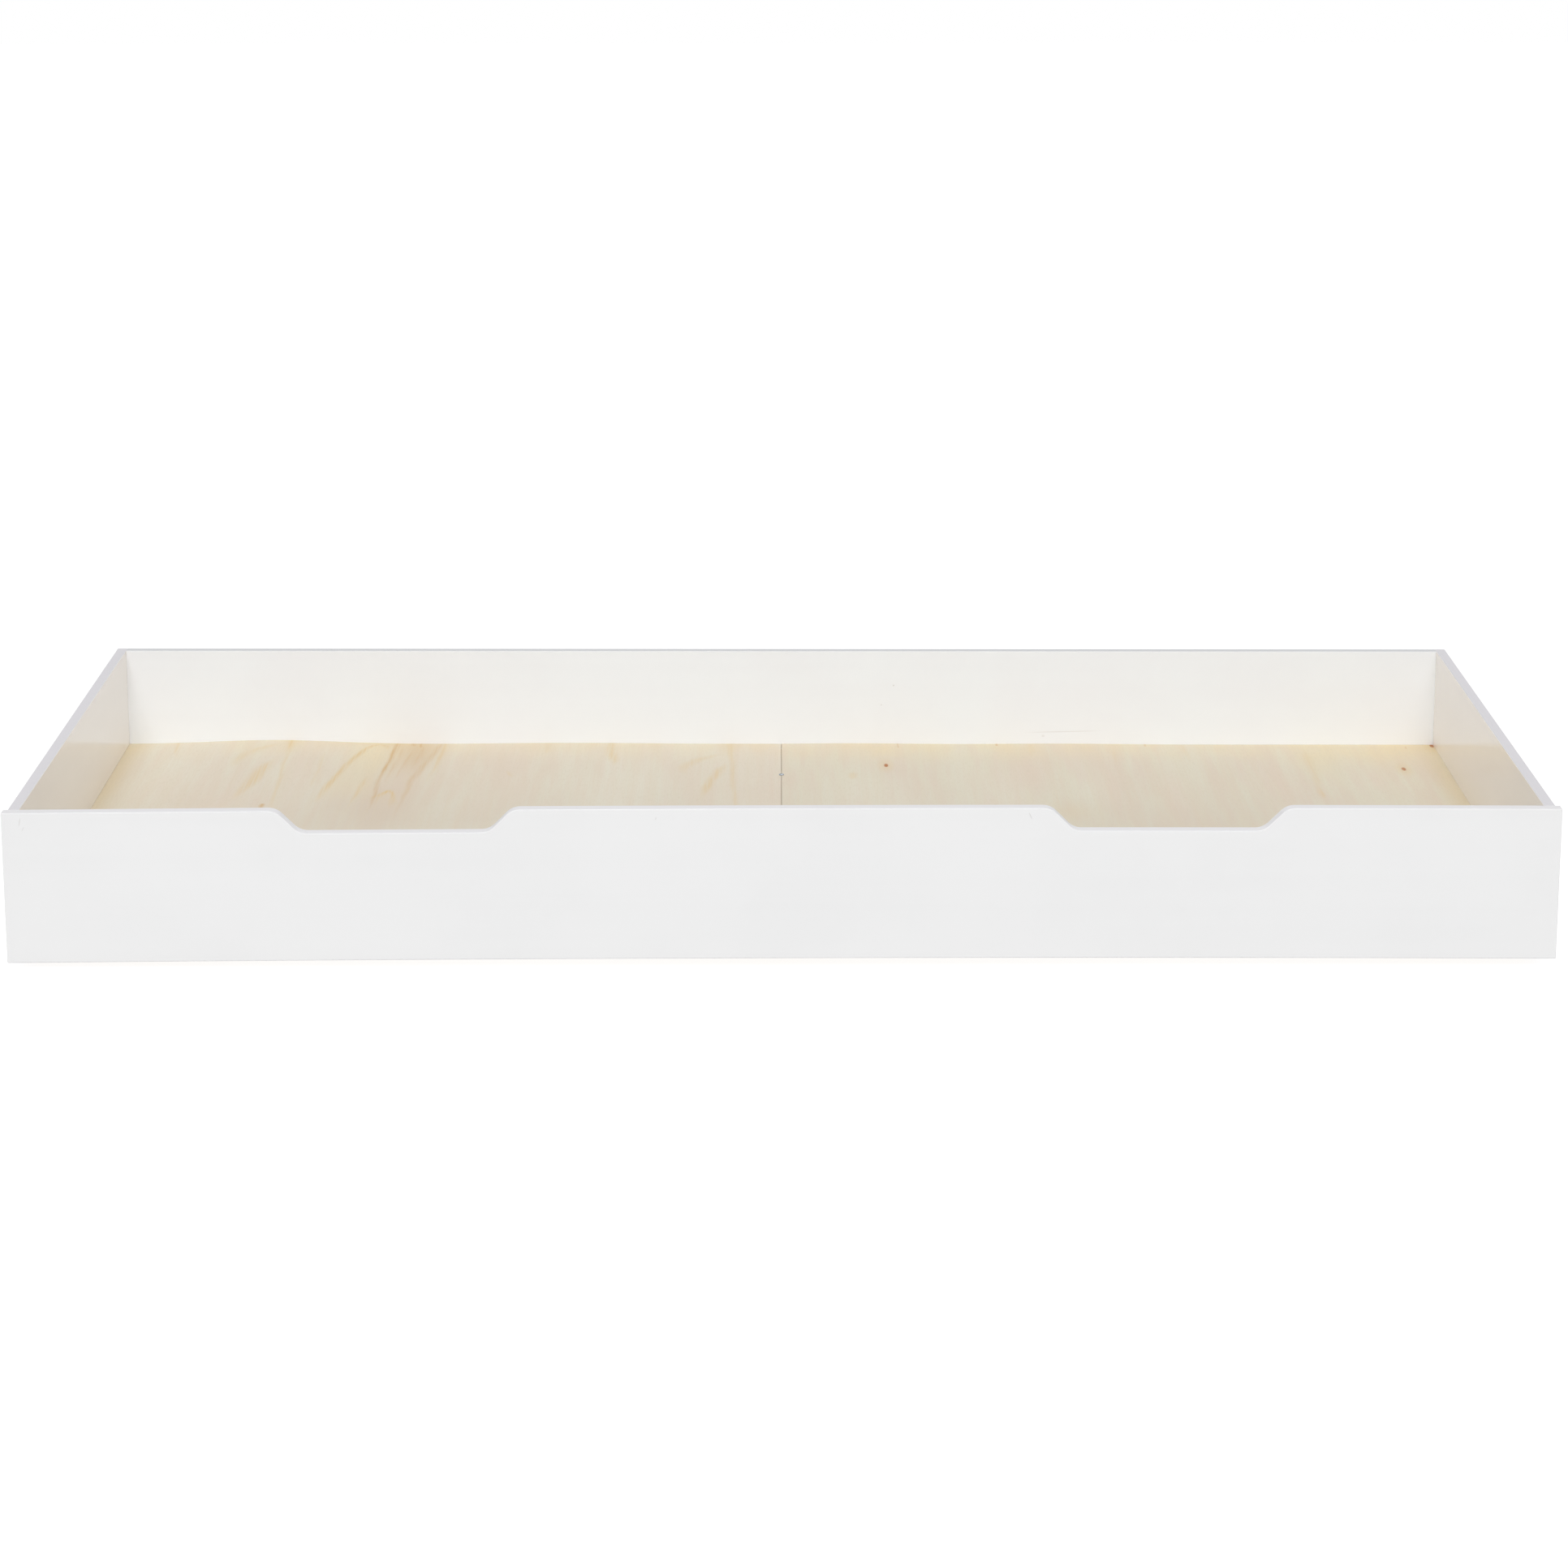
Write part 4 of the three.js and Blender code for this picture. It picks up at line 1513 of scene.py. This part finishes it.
    def bracket(self) -> Piece:
        """Builds the bracket: a plate with rounded corners and two holes, and two tapered legs.

        Returns:
            The pattern.
        """
        low, half_leg = self.plate_low, self.leg / 2
        half = extent(f"{self.name}_bracket")[:2] / 2 - self.corner
        signs = ((1, 1, 0.0), (-1, 1, 90.0), (-1, -1, 180.0), (1, -1, 270.0))
        outline = [half * (x, y) + arc(self.corner, start, start + 90.0, 8) for x, y, start in signs]
        body = self.slab(np.concatenate(outline), low, LEVEL)
        swing = math.degrees(math.atan2(low, half_leg) - math.acos(self.tip / math.hypot(half_leg, low)))
        top = low + self.gauge / 2
        shoulders = [[half_leg, low], [half_leg, top], [-half_leg, top], [-half_leg, low]]
        leg = np.concatenate([arc(self.tip, 180.0 - swing, 360.0 + swing, 18), shoulders])
        upright = Matrix(((0, 0, 1, 0), (1, 0, 0, 0), (0, 1, 0, 0), (0, 0, 0, 1)))
        inner = self.width / 2 + self.side_room
        joined(body, [self.slab(leg, start, upright) for start in (inner, -inner - self.gauge)], "UNION")
        offsets = (-self.hole_pitch / 2, self.hole_pitch / 2)
        cutters = [self.hole_cutter(self.hole, Matrix.Translation((0, y, low))) for y in offsets]
        across = Matrix.Translation((-10 * MM, 0, 0)) @ facing(1.0, 0.0, 0.0)
        return smoothed(joined(body, [*cutters, self.hole_cutter(self.axle_hole, across)]), 30.0)

    def rivet(self) -> Piece:
        """Builds the axle rivet about X: a pin with a domed head at each end.

        A head's dome is an arc: its height at a share s of the radius is dome * sqrt(1 - (0.85 s)^2).

        Returns:
            The pattern.
        """
        length, _, across = extent(f"{self.name}_axle")
        head, rim = across / 2, length / 2 - self.dome
        share = np.linspace(1.0, 0.0, 9)
        cap = np.stack([head * share, rim + self.dome * np.sqrt(1 - (0.85 * share) ** 2)], -1)
        upper = np.concatenate([[[self.axle / 2, rim], [head, rim]], cap])
        rivet = lathed("axle_rivet", np.concatenate([upper[::-1] * (1.0, -1.0), upper]), 32)
        return placed(smoothed(rivet, 40.0), facing(1.0, 0.0, 0.0))

    def screw(self) -> Piece:
        """Builds a screw with its head down, under the plate.

        Returns:
            The pattern, with the underside of its head at the origin.
        """
        (left, _, bottom), (right, _, top) = corners(f"{self.name}_front_screw")
        under = corners(f"{self.name}_bracket")[1][2] - self.gauge
        screw = PanHeadScrew(4 * MM, right - left, under - bottom, top - under)
        return screw.pattern("caster_screw")


@dataclass
class CasterSet:
    """The six casters, all made from one set of patterns."""

    def build(self) -> None:
        """Builds the patterns, and places a copy of each at every caster, all turned differently."""
        size, steel = Caster(), ZincSteel()
        patterns = {"bracket": size.bracket(), "axle": size.rivet()}
        patterns |= {"wheel": size.wheel(), "screw": size.screw()}
        flipped = Matrix.Rotation(math.pi, 4, "X")
        names = [f"{station}_{row}_caster" for station in STATIONS for row in ("front", "back")]
        for count, name in enumerate(names):
            axle = Matrix.Translation(middle(f"{name}_wheel"))
            parts = [("bracket", "bracket", axle), ("axle", "axle", axle)]
            parts.append(("wheel", "wheel", axle @ Matrix.Rotation(0.5 * count, 4, "X")))
            for end, side in (("front", -1), ("back", 1)):
                hole = Matrix.Translation((0.0, side * size.hole_pitch / 2, size.plate_low))
                turn = flipped @ Matrix.Rotation(0.7 * count + side, 4, "Z")
                parts.append(("screw", f"{end}_screw", axle @ hole @ turn))
            for kind, part, place in parts:
                node = f"{name}_{part}"
                finish, body = (WheelNylon(), node) if kind == "wheel" else (steel, "box")
                stand_for(copied(patterns[kind], f"{node}_detail", place), node, finish, body)
        for pattern in patterns.values():
            bpy.data.objects.remove(pattern)


# ---- Studio --------------------------------------------------------------------------------------


@dataclass(frozen=True)
class Lamp:
    """A soft lamp: where it stands, the width and height of its face, its watts, and what it looks at."""

    name: str
    place: tuple[float, float, float]
    size: tuple[float, float]
    power: float
    aim: tuple[float, float, float] = (0.0, 0.0, 0.1)
    seen: bool = True

    def build(self) -> None:
        """Places the lamp."""
        data = bpy.data.lights.new(self.name, "AREA")
        data.shape, data.energy = "RECTANGLE", self.power
        data.size, data.size_y = self.size
        lamp = bpy.data.objects.new(self.name, data)
        turn = (Vector(self.aim) - Vector(self.place)).to_track_quat("-Z", "Y").to_matrix().to_4x4()
        lamp.matrix_world = Matrix.Translation(self.place) @ turn
        lamp.visible_camera = lamp.visible_glossy = self.seen
        bpy.context.scene.collection.objects.link(lamp)


@dataclass
class Studio:
    """A pale floor, soft lamps, a white surround and the camera.

    The low lamp behind lights only the outside of the back panel. The floor's own light is 1 beyond
    the far radius, glow within the near one, and bounce where it falls on the bed.
    """

    surround: float = 0.5
    floor_half: float = 15.0
    glow: float = 0.87
    bounce: float = 0.59
    near: float = 1.6
    far: float = 4.0
    pale: tuple = (0.30, 0.30, 0.30, 1.0)
    place: tuple[float, float, float] = (0.0002, -5.7014, 1.5828)
    pitch: float = 14.3216
    yaw: float = 0.0335
    roll: float = -0.054
    focal_length: float = 96.91
    lamps: tuple[Lamp, ...] = (
        Lamp("key", (-1.5, -11.0, 7.5), (4.0, 4.0), 470.0),
        Lamp("fill", (3.0, -16.0, 11.0), (6.0, 6.0), 500.0),
        Lamp("overhead", (0.0, -4.0, 12.0), (8.0, 4.0), 250.0),
        Lamp("rear", (0.0, 12.0, 1.5), (6.0, 2.0), 260.0, aim=(0.0, 0.47, 0.1), seen=False),
    )

    def camera(self) -> None:
        """Places the camera: it looks along +Y, yawed to the right, pitched down and rolled."""
        data = bpy.data.cameras.new("camera")
        data.lens, data.sensor_width, data.clip_end = self.focal_length, 36.0, 60.0
        camera = bpy.data.objects.new("camera", data)
        turns = ((-self.yaw, "Z"), (90.0 - self.pitch, "X"), (self.roll, "Z"))
        yaw, upright, roll = (Matrix.Rotation(math.radians(degrees), 4, axis) for degrees, axis in turns)
        camera.matrix_world = Matrix.Translation(self.place) @ yaw @ upright @ roll
        bpy.context.scene.collection.objects.link(camera)
        bpy.context.scene.camera = camera

    def world(self) -> None:
        """Lights the world evenly, and shows it white to the camera and in reflections."""
        world = bpy.data.worlds.new("studio")
        bpy.context.scene.world = world
        world.use_nodes = True
        steps = Tree(world.node_tree)
        viewed = steps.field("LightPath", output="Is Camera Ray")
        mirrored = steps.field("LightPath", output="Is Glossy Ray")
        strength = viewed.math("MAXIMUM", mirrored).ramp(0.0, 1.0, self.surround, 1.0)
        background = steps.field("Background", {"Color": WHITE, "Strength": strength})
        steps.add("OutputWorld", {"Surface": background})

    def floor(self) -> None:
        """Lays the floor: a pale sheet that shows white to the camera except where it is shaded.

        Away from the bed the white comes wholly from its glow, so it meets the surround unseen. The
        light that it throws back up is even, and it is clear from below, so the underside can be seen.
        """
        half = self.floor_half
        mesh = bpy.data.meshes.new("studio_floor")
        outline = [(-half, -half, 0.0), (half, -half, 0.0), (half, half, 0.0), (-half, half, 0.0)]
        mesh.from_pydata(outline, [], [[0, 1, 2, 3]])
        floor = bpy.data.objects.new("studio_floor", mesh)
        bpy.context.scene.collection.objects.link(floor)
        material = bpy.data.materials.new("studio_floor")
        material.use_nodes = True
        steps = Tree(material.node_tree)
        seen = steps.field("LightPath", output="Is Camera Ray")
        away = steps.field("VectorMath", {0: steps.place()}, "Value", operation="LENGTH")
        glow = seen * (away.ramp(self.near, self.far, self.glow, 1.0) - self.bounce) + self.bounce
        matt = steps.field("BsdfDiffuse", {"Color": steps.mix(seen, srgb(0, 0, 0), self.pale)})
        light = steps.field("Emission", {"Color": WHITE, "Strength": glow})
        both = steps.field("AddShader", {0: matt, 1: light})
        below = steps.field("NewGeometry", output="Backfacing")
        sheet = steps.field("MixShader", {0: below, 1: both, 2: steps.field("BsdfTransparent")})
        steps.add("OutputMaterial", {"Surface": sheet}, is_active_output=True)
        mesh.materials.append(material)
        floor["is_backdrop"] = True

    def build(self) -> None:
        """Sets up the whole studio."""
        self.camera()
        self.world()
        self.floor()
        for lamp in self.lamps:
            lamp.build()
        bpy.context.scene.view_settings.view_transform = "Standard"


# ---- Assembly ------------------------------------------------------------------------------------

FRONT_PAINT = WhitePaint(
    scuffs=(
        Scuff(-0.976, 0.199, 7.0, 0.8, turn=80.0),
        Scuff(-0.972, 0.190, 4.0, 0.7, turn=60.0, strength=0.3),
        Scuff(0.319, 0.206, 6.0, 0.8, turn=-65.0, strength=0.45),
        Scuff(-0.161, 0.203, 2.5, 1.0, turn=70.0, strength=0.3),
    ),
)
SIDE_PAINT = WhitePaint(
    name="white_paint_sides",
    grain=Grain.ALONG_Y,
    # Painted light: this warmer, brighter white stands in for warm light thrown back onto the sides from
    # the veneer.
    white=srgb(250, 245, 241),
    shade=srgb(247, 242, 238),
    # Painted shade on the side panels' rims.
    rim=srgb(222, 220, 224),
    gloss=(0.14, 0.17),
    relief=0.0006 * MM,
)
BACK_PAINT = WhitePaint(
    name="white_paint_back",
    # Painted light: this cooler white stands in for the brighter, more neutral light on the back panel's
    # inner face.
    white=srgb(244, 247, 250),
    shade=srgb(242, 244, 247),
    # Painted shade on the back panel's rims.
    rim=srgb(216, 217, 219),
    scuffs=(
        Scuff(0.424, 0.0905, 64.0, 1.0, turn=1.2, strength=0.35),
        Scuff(0.393, 0.084, 3.0, 2.0, strength=0.3),
        Scuff(0.168, 0.162, 1.6, 1.6, strength=0.5),
        Scuff(0.150, 0.132, 1.4, 1.4, strength=0.4),
    ),
)

LEFT_FIGURE = Veneer(
    name="left_veneer",
    seed=(0.3, 0.0, 0.0),
    clouds=(
        # Painted shade and warm reflected light along the sheet's edge beside the left side panel.
        (Tone.HONEY, Cloud(-0.975, 0.25, 0.022, 0.60, 0.75)),
        (Tone.BROWN, Cloud(-0.547, 0.40, 0.030, 0.12, 0.60)),
        (Tone.TAN, Cloud(-0.540, 0.44, 0.030, 0.05, 0.20)),
        (Tone.DUSK, Cloud(-0.548, 0.42, 0.034, 0.10, 0.34)),
        (Tone.DUSK, Cloud(-0.575, 0.14, 0.065, 0.17, 0.42)),
        (Tone.HONEY, Cloud(-0.600, 0.40, 0.040, 0.10, 0.60)),
        (Tone.TAN, Cloud(-0.600, 0.47, 0.045, 0.03, 0.60)),
        (Tone.ROSE, Cloud(-0.560, 0.22, 0.030, 0.12, 0.35)),
        (Tone.TAN, Cloud(-0.733, 0.45, 0.014, 0.05, 0.50)),
        (Tone.ROSE, Cloud(-0.780, 0.10, 0.050, 0.14, 0.45)),
        (Tone.ROSE, Cloud(-0.700, 0.30, 0.035, 0.20, 0.30)),
        (Tone.PALE, Cloud(-0.900, 0.30, 0.060, 0.20, 0.35)),
        (Tone.ROSE, Cloud(-0.400, 0.35, 0.060, 0.14, 0.40)),
        (Tone.PALE, Cloud(-0.230, 0.20, 0.050, 0.20, 0.40)),
        (Tone.TAN, Cloud(-0.080, 0.45, 0.018, 0.05, 0.45)),
        (Tone.ROSE, Cloud(-0.030, 0.25, 0.060, 0.30, 0.45)),
    ),
    tan=(
        Streak(-0.502, 0.26, 0.50, lean=-0.05, width=6.0, skirt=10.0),
        Streak(-0.602, 0.20, 0.55, back=0.27, lean=-0.08, width=5.0, skirt=8.0, begin=50.0),
        Streak(-0.536, 0.10, 0.35, back=0.22, lean=-0.06, width=5.0, begin=40.0),
        Streak(-0.562, 0.06, 0.62, back=0.192, lean=-0.50, width=7.0, begin=10.0, fade=24.0),
        Streak(-0.560, 0.11, 0.45, back=0.185, lean=0.04, width=6.0, begin=6.0, fade=50.0),
        Streak(-0.736, 0.45, 0.34, lean=0.03, width=6.0, skirt=12.0),
        Streak(-0.735, 0.09, 0.40, lean=0.03, width=6.0, skirt=10.0, fade=50.0),
        Streak(-0.742, 0.17, 0.40, back=0.45, lean=-1.00, bow=4.00, width=17.0, skirt=20.0,
               begin=40.0, fade=80.0),
        Streak(-0.745, 0.27, 0.62, back=0.365, lean=-0.18, bow=0.10, width=16.0, skirt=14.0,
               begin=70.0, fade=140.0),
        Streak(-0.910, 0.12, 0.40, lean=0.12, width=7.0, fade=70.0),
        Streak(-0.679, 0.25, 0.30, back=0.42, width=6.0, begin=70.0, fade=70.0),
        Streak(-0.257, 0.16, 0.52, lean=0.07, width=13.0, skirt=12.0, fade=60.0),
        Streak(-0.350, 0.09, 0.24, width=8.0, fade=40.0),
        Streak(-0.404, 0.05, 0.38, back=0.30, lean=0.25, width=5.0, begin=20.0, fade=20.0),
        Streak(-0.077, 0.45, 0.38, lean=0.03, width=7.0, skirt=10.0),
        Streak(-0.083, 0.15, 0.38, back=0.405, lean=-1.10, bow=5.00, width=17.0, skirt=18.0,
               begin=40.0, fade=80.0),
        Streak(-0.080, 0.25, 0.62, back=0.35, lean=-0.22, bow=0.25, width=12.0, skirt=11.0,
               begin=60.0, fade=120.0),
    ),
    brown=(
        Streak(-0.576, 0.22, 0.85, lean=-0.03, width=7.0, skirt=12.0),
        Streak(-0.579, 0.31, 0.54, back=0.36, lean=-0.04, bow=0.06, width=6.0, skirt=9.0, begin=60.0),
        Streak(-0.508, 0.48, 0.54, lean=-0.16, bow=0.18, width=8.0, skirt=6.0, fade=260.0),
        Streak(-0.566, 0.26, 0.36, back=0.45, lean=-0.03, width=4.0, skirt=9.0, begin=40.0),
        Streak(-0.551, 0.22, 0.36, back=0.43, lean=-0.05, width=4.0, skirt=9.0, begin=40.0),
        Streak(-0.536, 0.16, 0.40, back=0.45, lean=-0.05, width=4.0, skirt=7.0, begin=30.0),
        Streak(-0.553, 0.030, 1.00, width=5.0, skirt=6.0, begin=4.0, fade=10.0),
        Streak(-0.541, 0.040, 0.90, width=4.0, skirt=6.0, begin=4.0, fade=12.0),
        Streak(-0.738, 0.03, 1.00, back=0.108, width=6.0, skirt=5.0, begin=6.0, fade=12.0),
    ),
    flames=(
        Flame(-0.602, 0.450, 0.062, 0.34, 0.80, 0.30, line=8.0, right_share=0.0),
        Flame(-0.567, 0.180, 0.016, 0.08, 0.80, 0.20, line=6.0),
    ),
)
RIGHT_FIGURE = Veneer(
    name="right_veneer",
    seed=(-0.7, 0.4, 0.0),
    aged=0.52,
    pale=srgb(229, 223, 204),
    rosy=srgb(228, 215, 198),
    clouds=(
        # Painted shade and warm reflected light along the sheet's edge beside the right side panel.
        (Tone.HONEY, Cloud(0.975, 0.20, 0.022, 0.60, 0.70)),
        (Tone.HONEY, Cloud(0.900, 0.42, 0.090, 0.10, 0.50)),
        (Tone.HONEY, Cloud(0.955, 0.45, 0.060, 0.06, 0.60)),
        (Tone.HONEY, Cloud(0.150, 0.42, 0.060, 0.06, 0.50)),
        (Tone.HONEY, Cloud(0.350, 0.42, 0.040, 0.08, 0.28)),
        (Tone.HONEY, Cloud(0.790, 0.40, 0.030, 0.12, 0.55)),
        (Tone.PALE, Cloud(0.320, 0.16, 0.045, 0.14, 0.50)),
        (Tone.PALE, Cloud(0.445, 0.20, 0.035, 0.12, 0.30)),
        (Tone.PALE, Cloud(0.130, 0.12, 0.090, 0.12, 0.35)),
        (Tone.ROSE, Cloud(0.365, 0.27, 0.022, 0.10, 0.55)),
        (Tone.ROSE, Cloud(0.478, 0.24, 0.015, 0.12, 0.55)),
        (Tone.ROSE, Cloud(0.562, 0.18, 0.022, 0.14, 0.60)),
        (Tone.ROSE, Cloud(0.720, 0.22, 0.025, 0.14, 0.50)),
        (Tone.ROSE, Cloud(0.865, 0.25, 0.014, 0.05, 0.60)),
        (Tone.TAN, Cloud(0.410, 0.06, 0.030, 0.05, 0.18)),
    ),
    tan=(
        Streak(0.784, 0.30, 0.26, back=0.44, lean=-0.03, width=9.0, skirt=14.0, begin=50.0),
        Streak(0.774, 0.09, 0.48, back=0.22, width=8.0, skirt=8.0, begin=50.0, fade=30.0),
        Streak(0.497, 0.14, 0.22, back=0.44, lean=-0.05, width=7.0, begin=40.0),
        Streak(0.375, 0.10, 0.20, back=0.46, lean=-0.06, width=8.0, fade=60.0),
        Streak(0.600, 0.12, 0.20, back=0.46, lean=0.05, width=8.0, fade=70.0),
        Streak(0.103, 0.06, 0.40, back=0.295, width=10.0, skirt=8.0, begin=25.0, fade=25.0),
    ),
    brown=(
        Streak(0.175, 0.04, 0.80, back=0.47, width=1.8, skirt=2.0, begin=4.0, fade=8.0),
        Streak(0.936, 0.02, 0.80, back=0.45, width=1.8, skirt=2.0, begin=4.0, fade=6.0),
        Streak(0.322, 0.02, 0.80, back=0.464, width=3.0, skirt=3.0, begin=4.0, fade=5.0),
        Streak(0.547, 0.02, 0.60, back=0.464, width=3.0, skirt=3.0, begin=4.0, fade=5.0),
    ),
    knots=(Knot(0.154, 0.325), Knot(0.914, 0.310), Knot(0.9765, 0.452, 3.8)),
)


def main() -> None:
    """Builds the trundle bed and its studio, and works out the sizes of the frame and the finished model.
    """
    logging.basicConfig(level=logging.INFO, format="%(name)s: %(message)s")
    frame_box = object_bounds()
    Studio().build()
    (_, front, _), (half_length, _, _) = corners("front_panel")
    settling = Settling(front=front, back=corners("back_panel")[1][1], half_length=half_length)
    Box(settling).build()
    left_swells = (Swell(-0.76, 0.13, 6.2 * MM), Swell(-0.32, 0.16, 2.0 * MM), Swell(0.0, 0.2, 0.8 * MM))
    right_swells = (Swell(0.11, 0.13, 1.6 * MM), Swell(0.41, 0.12, 1.4 * MM), Swell(0.0, 0.1, 0.2 * MM))
    left_sheet = BottomSheet("left", settling, LEFT_FIGURE, left_swells)
    left_sheet.build()
    BottomSheet("right", settling, RIGHT_FIGURE, right_swells).build()
    Underframe().build()
    SeamScrews(settling, left_sheet).build()
    CornerFasteners().build()
    CasterSet().build()
    sizes = {"frame": frame_box, "finished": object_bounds()}


if __name__ == "__main__":
    main()
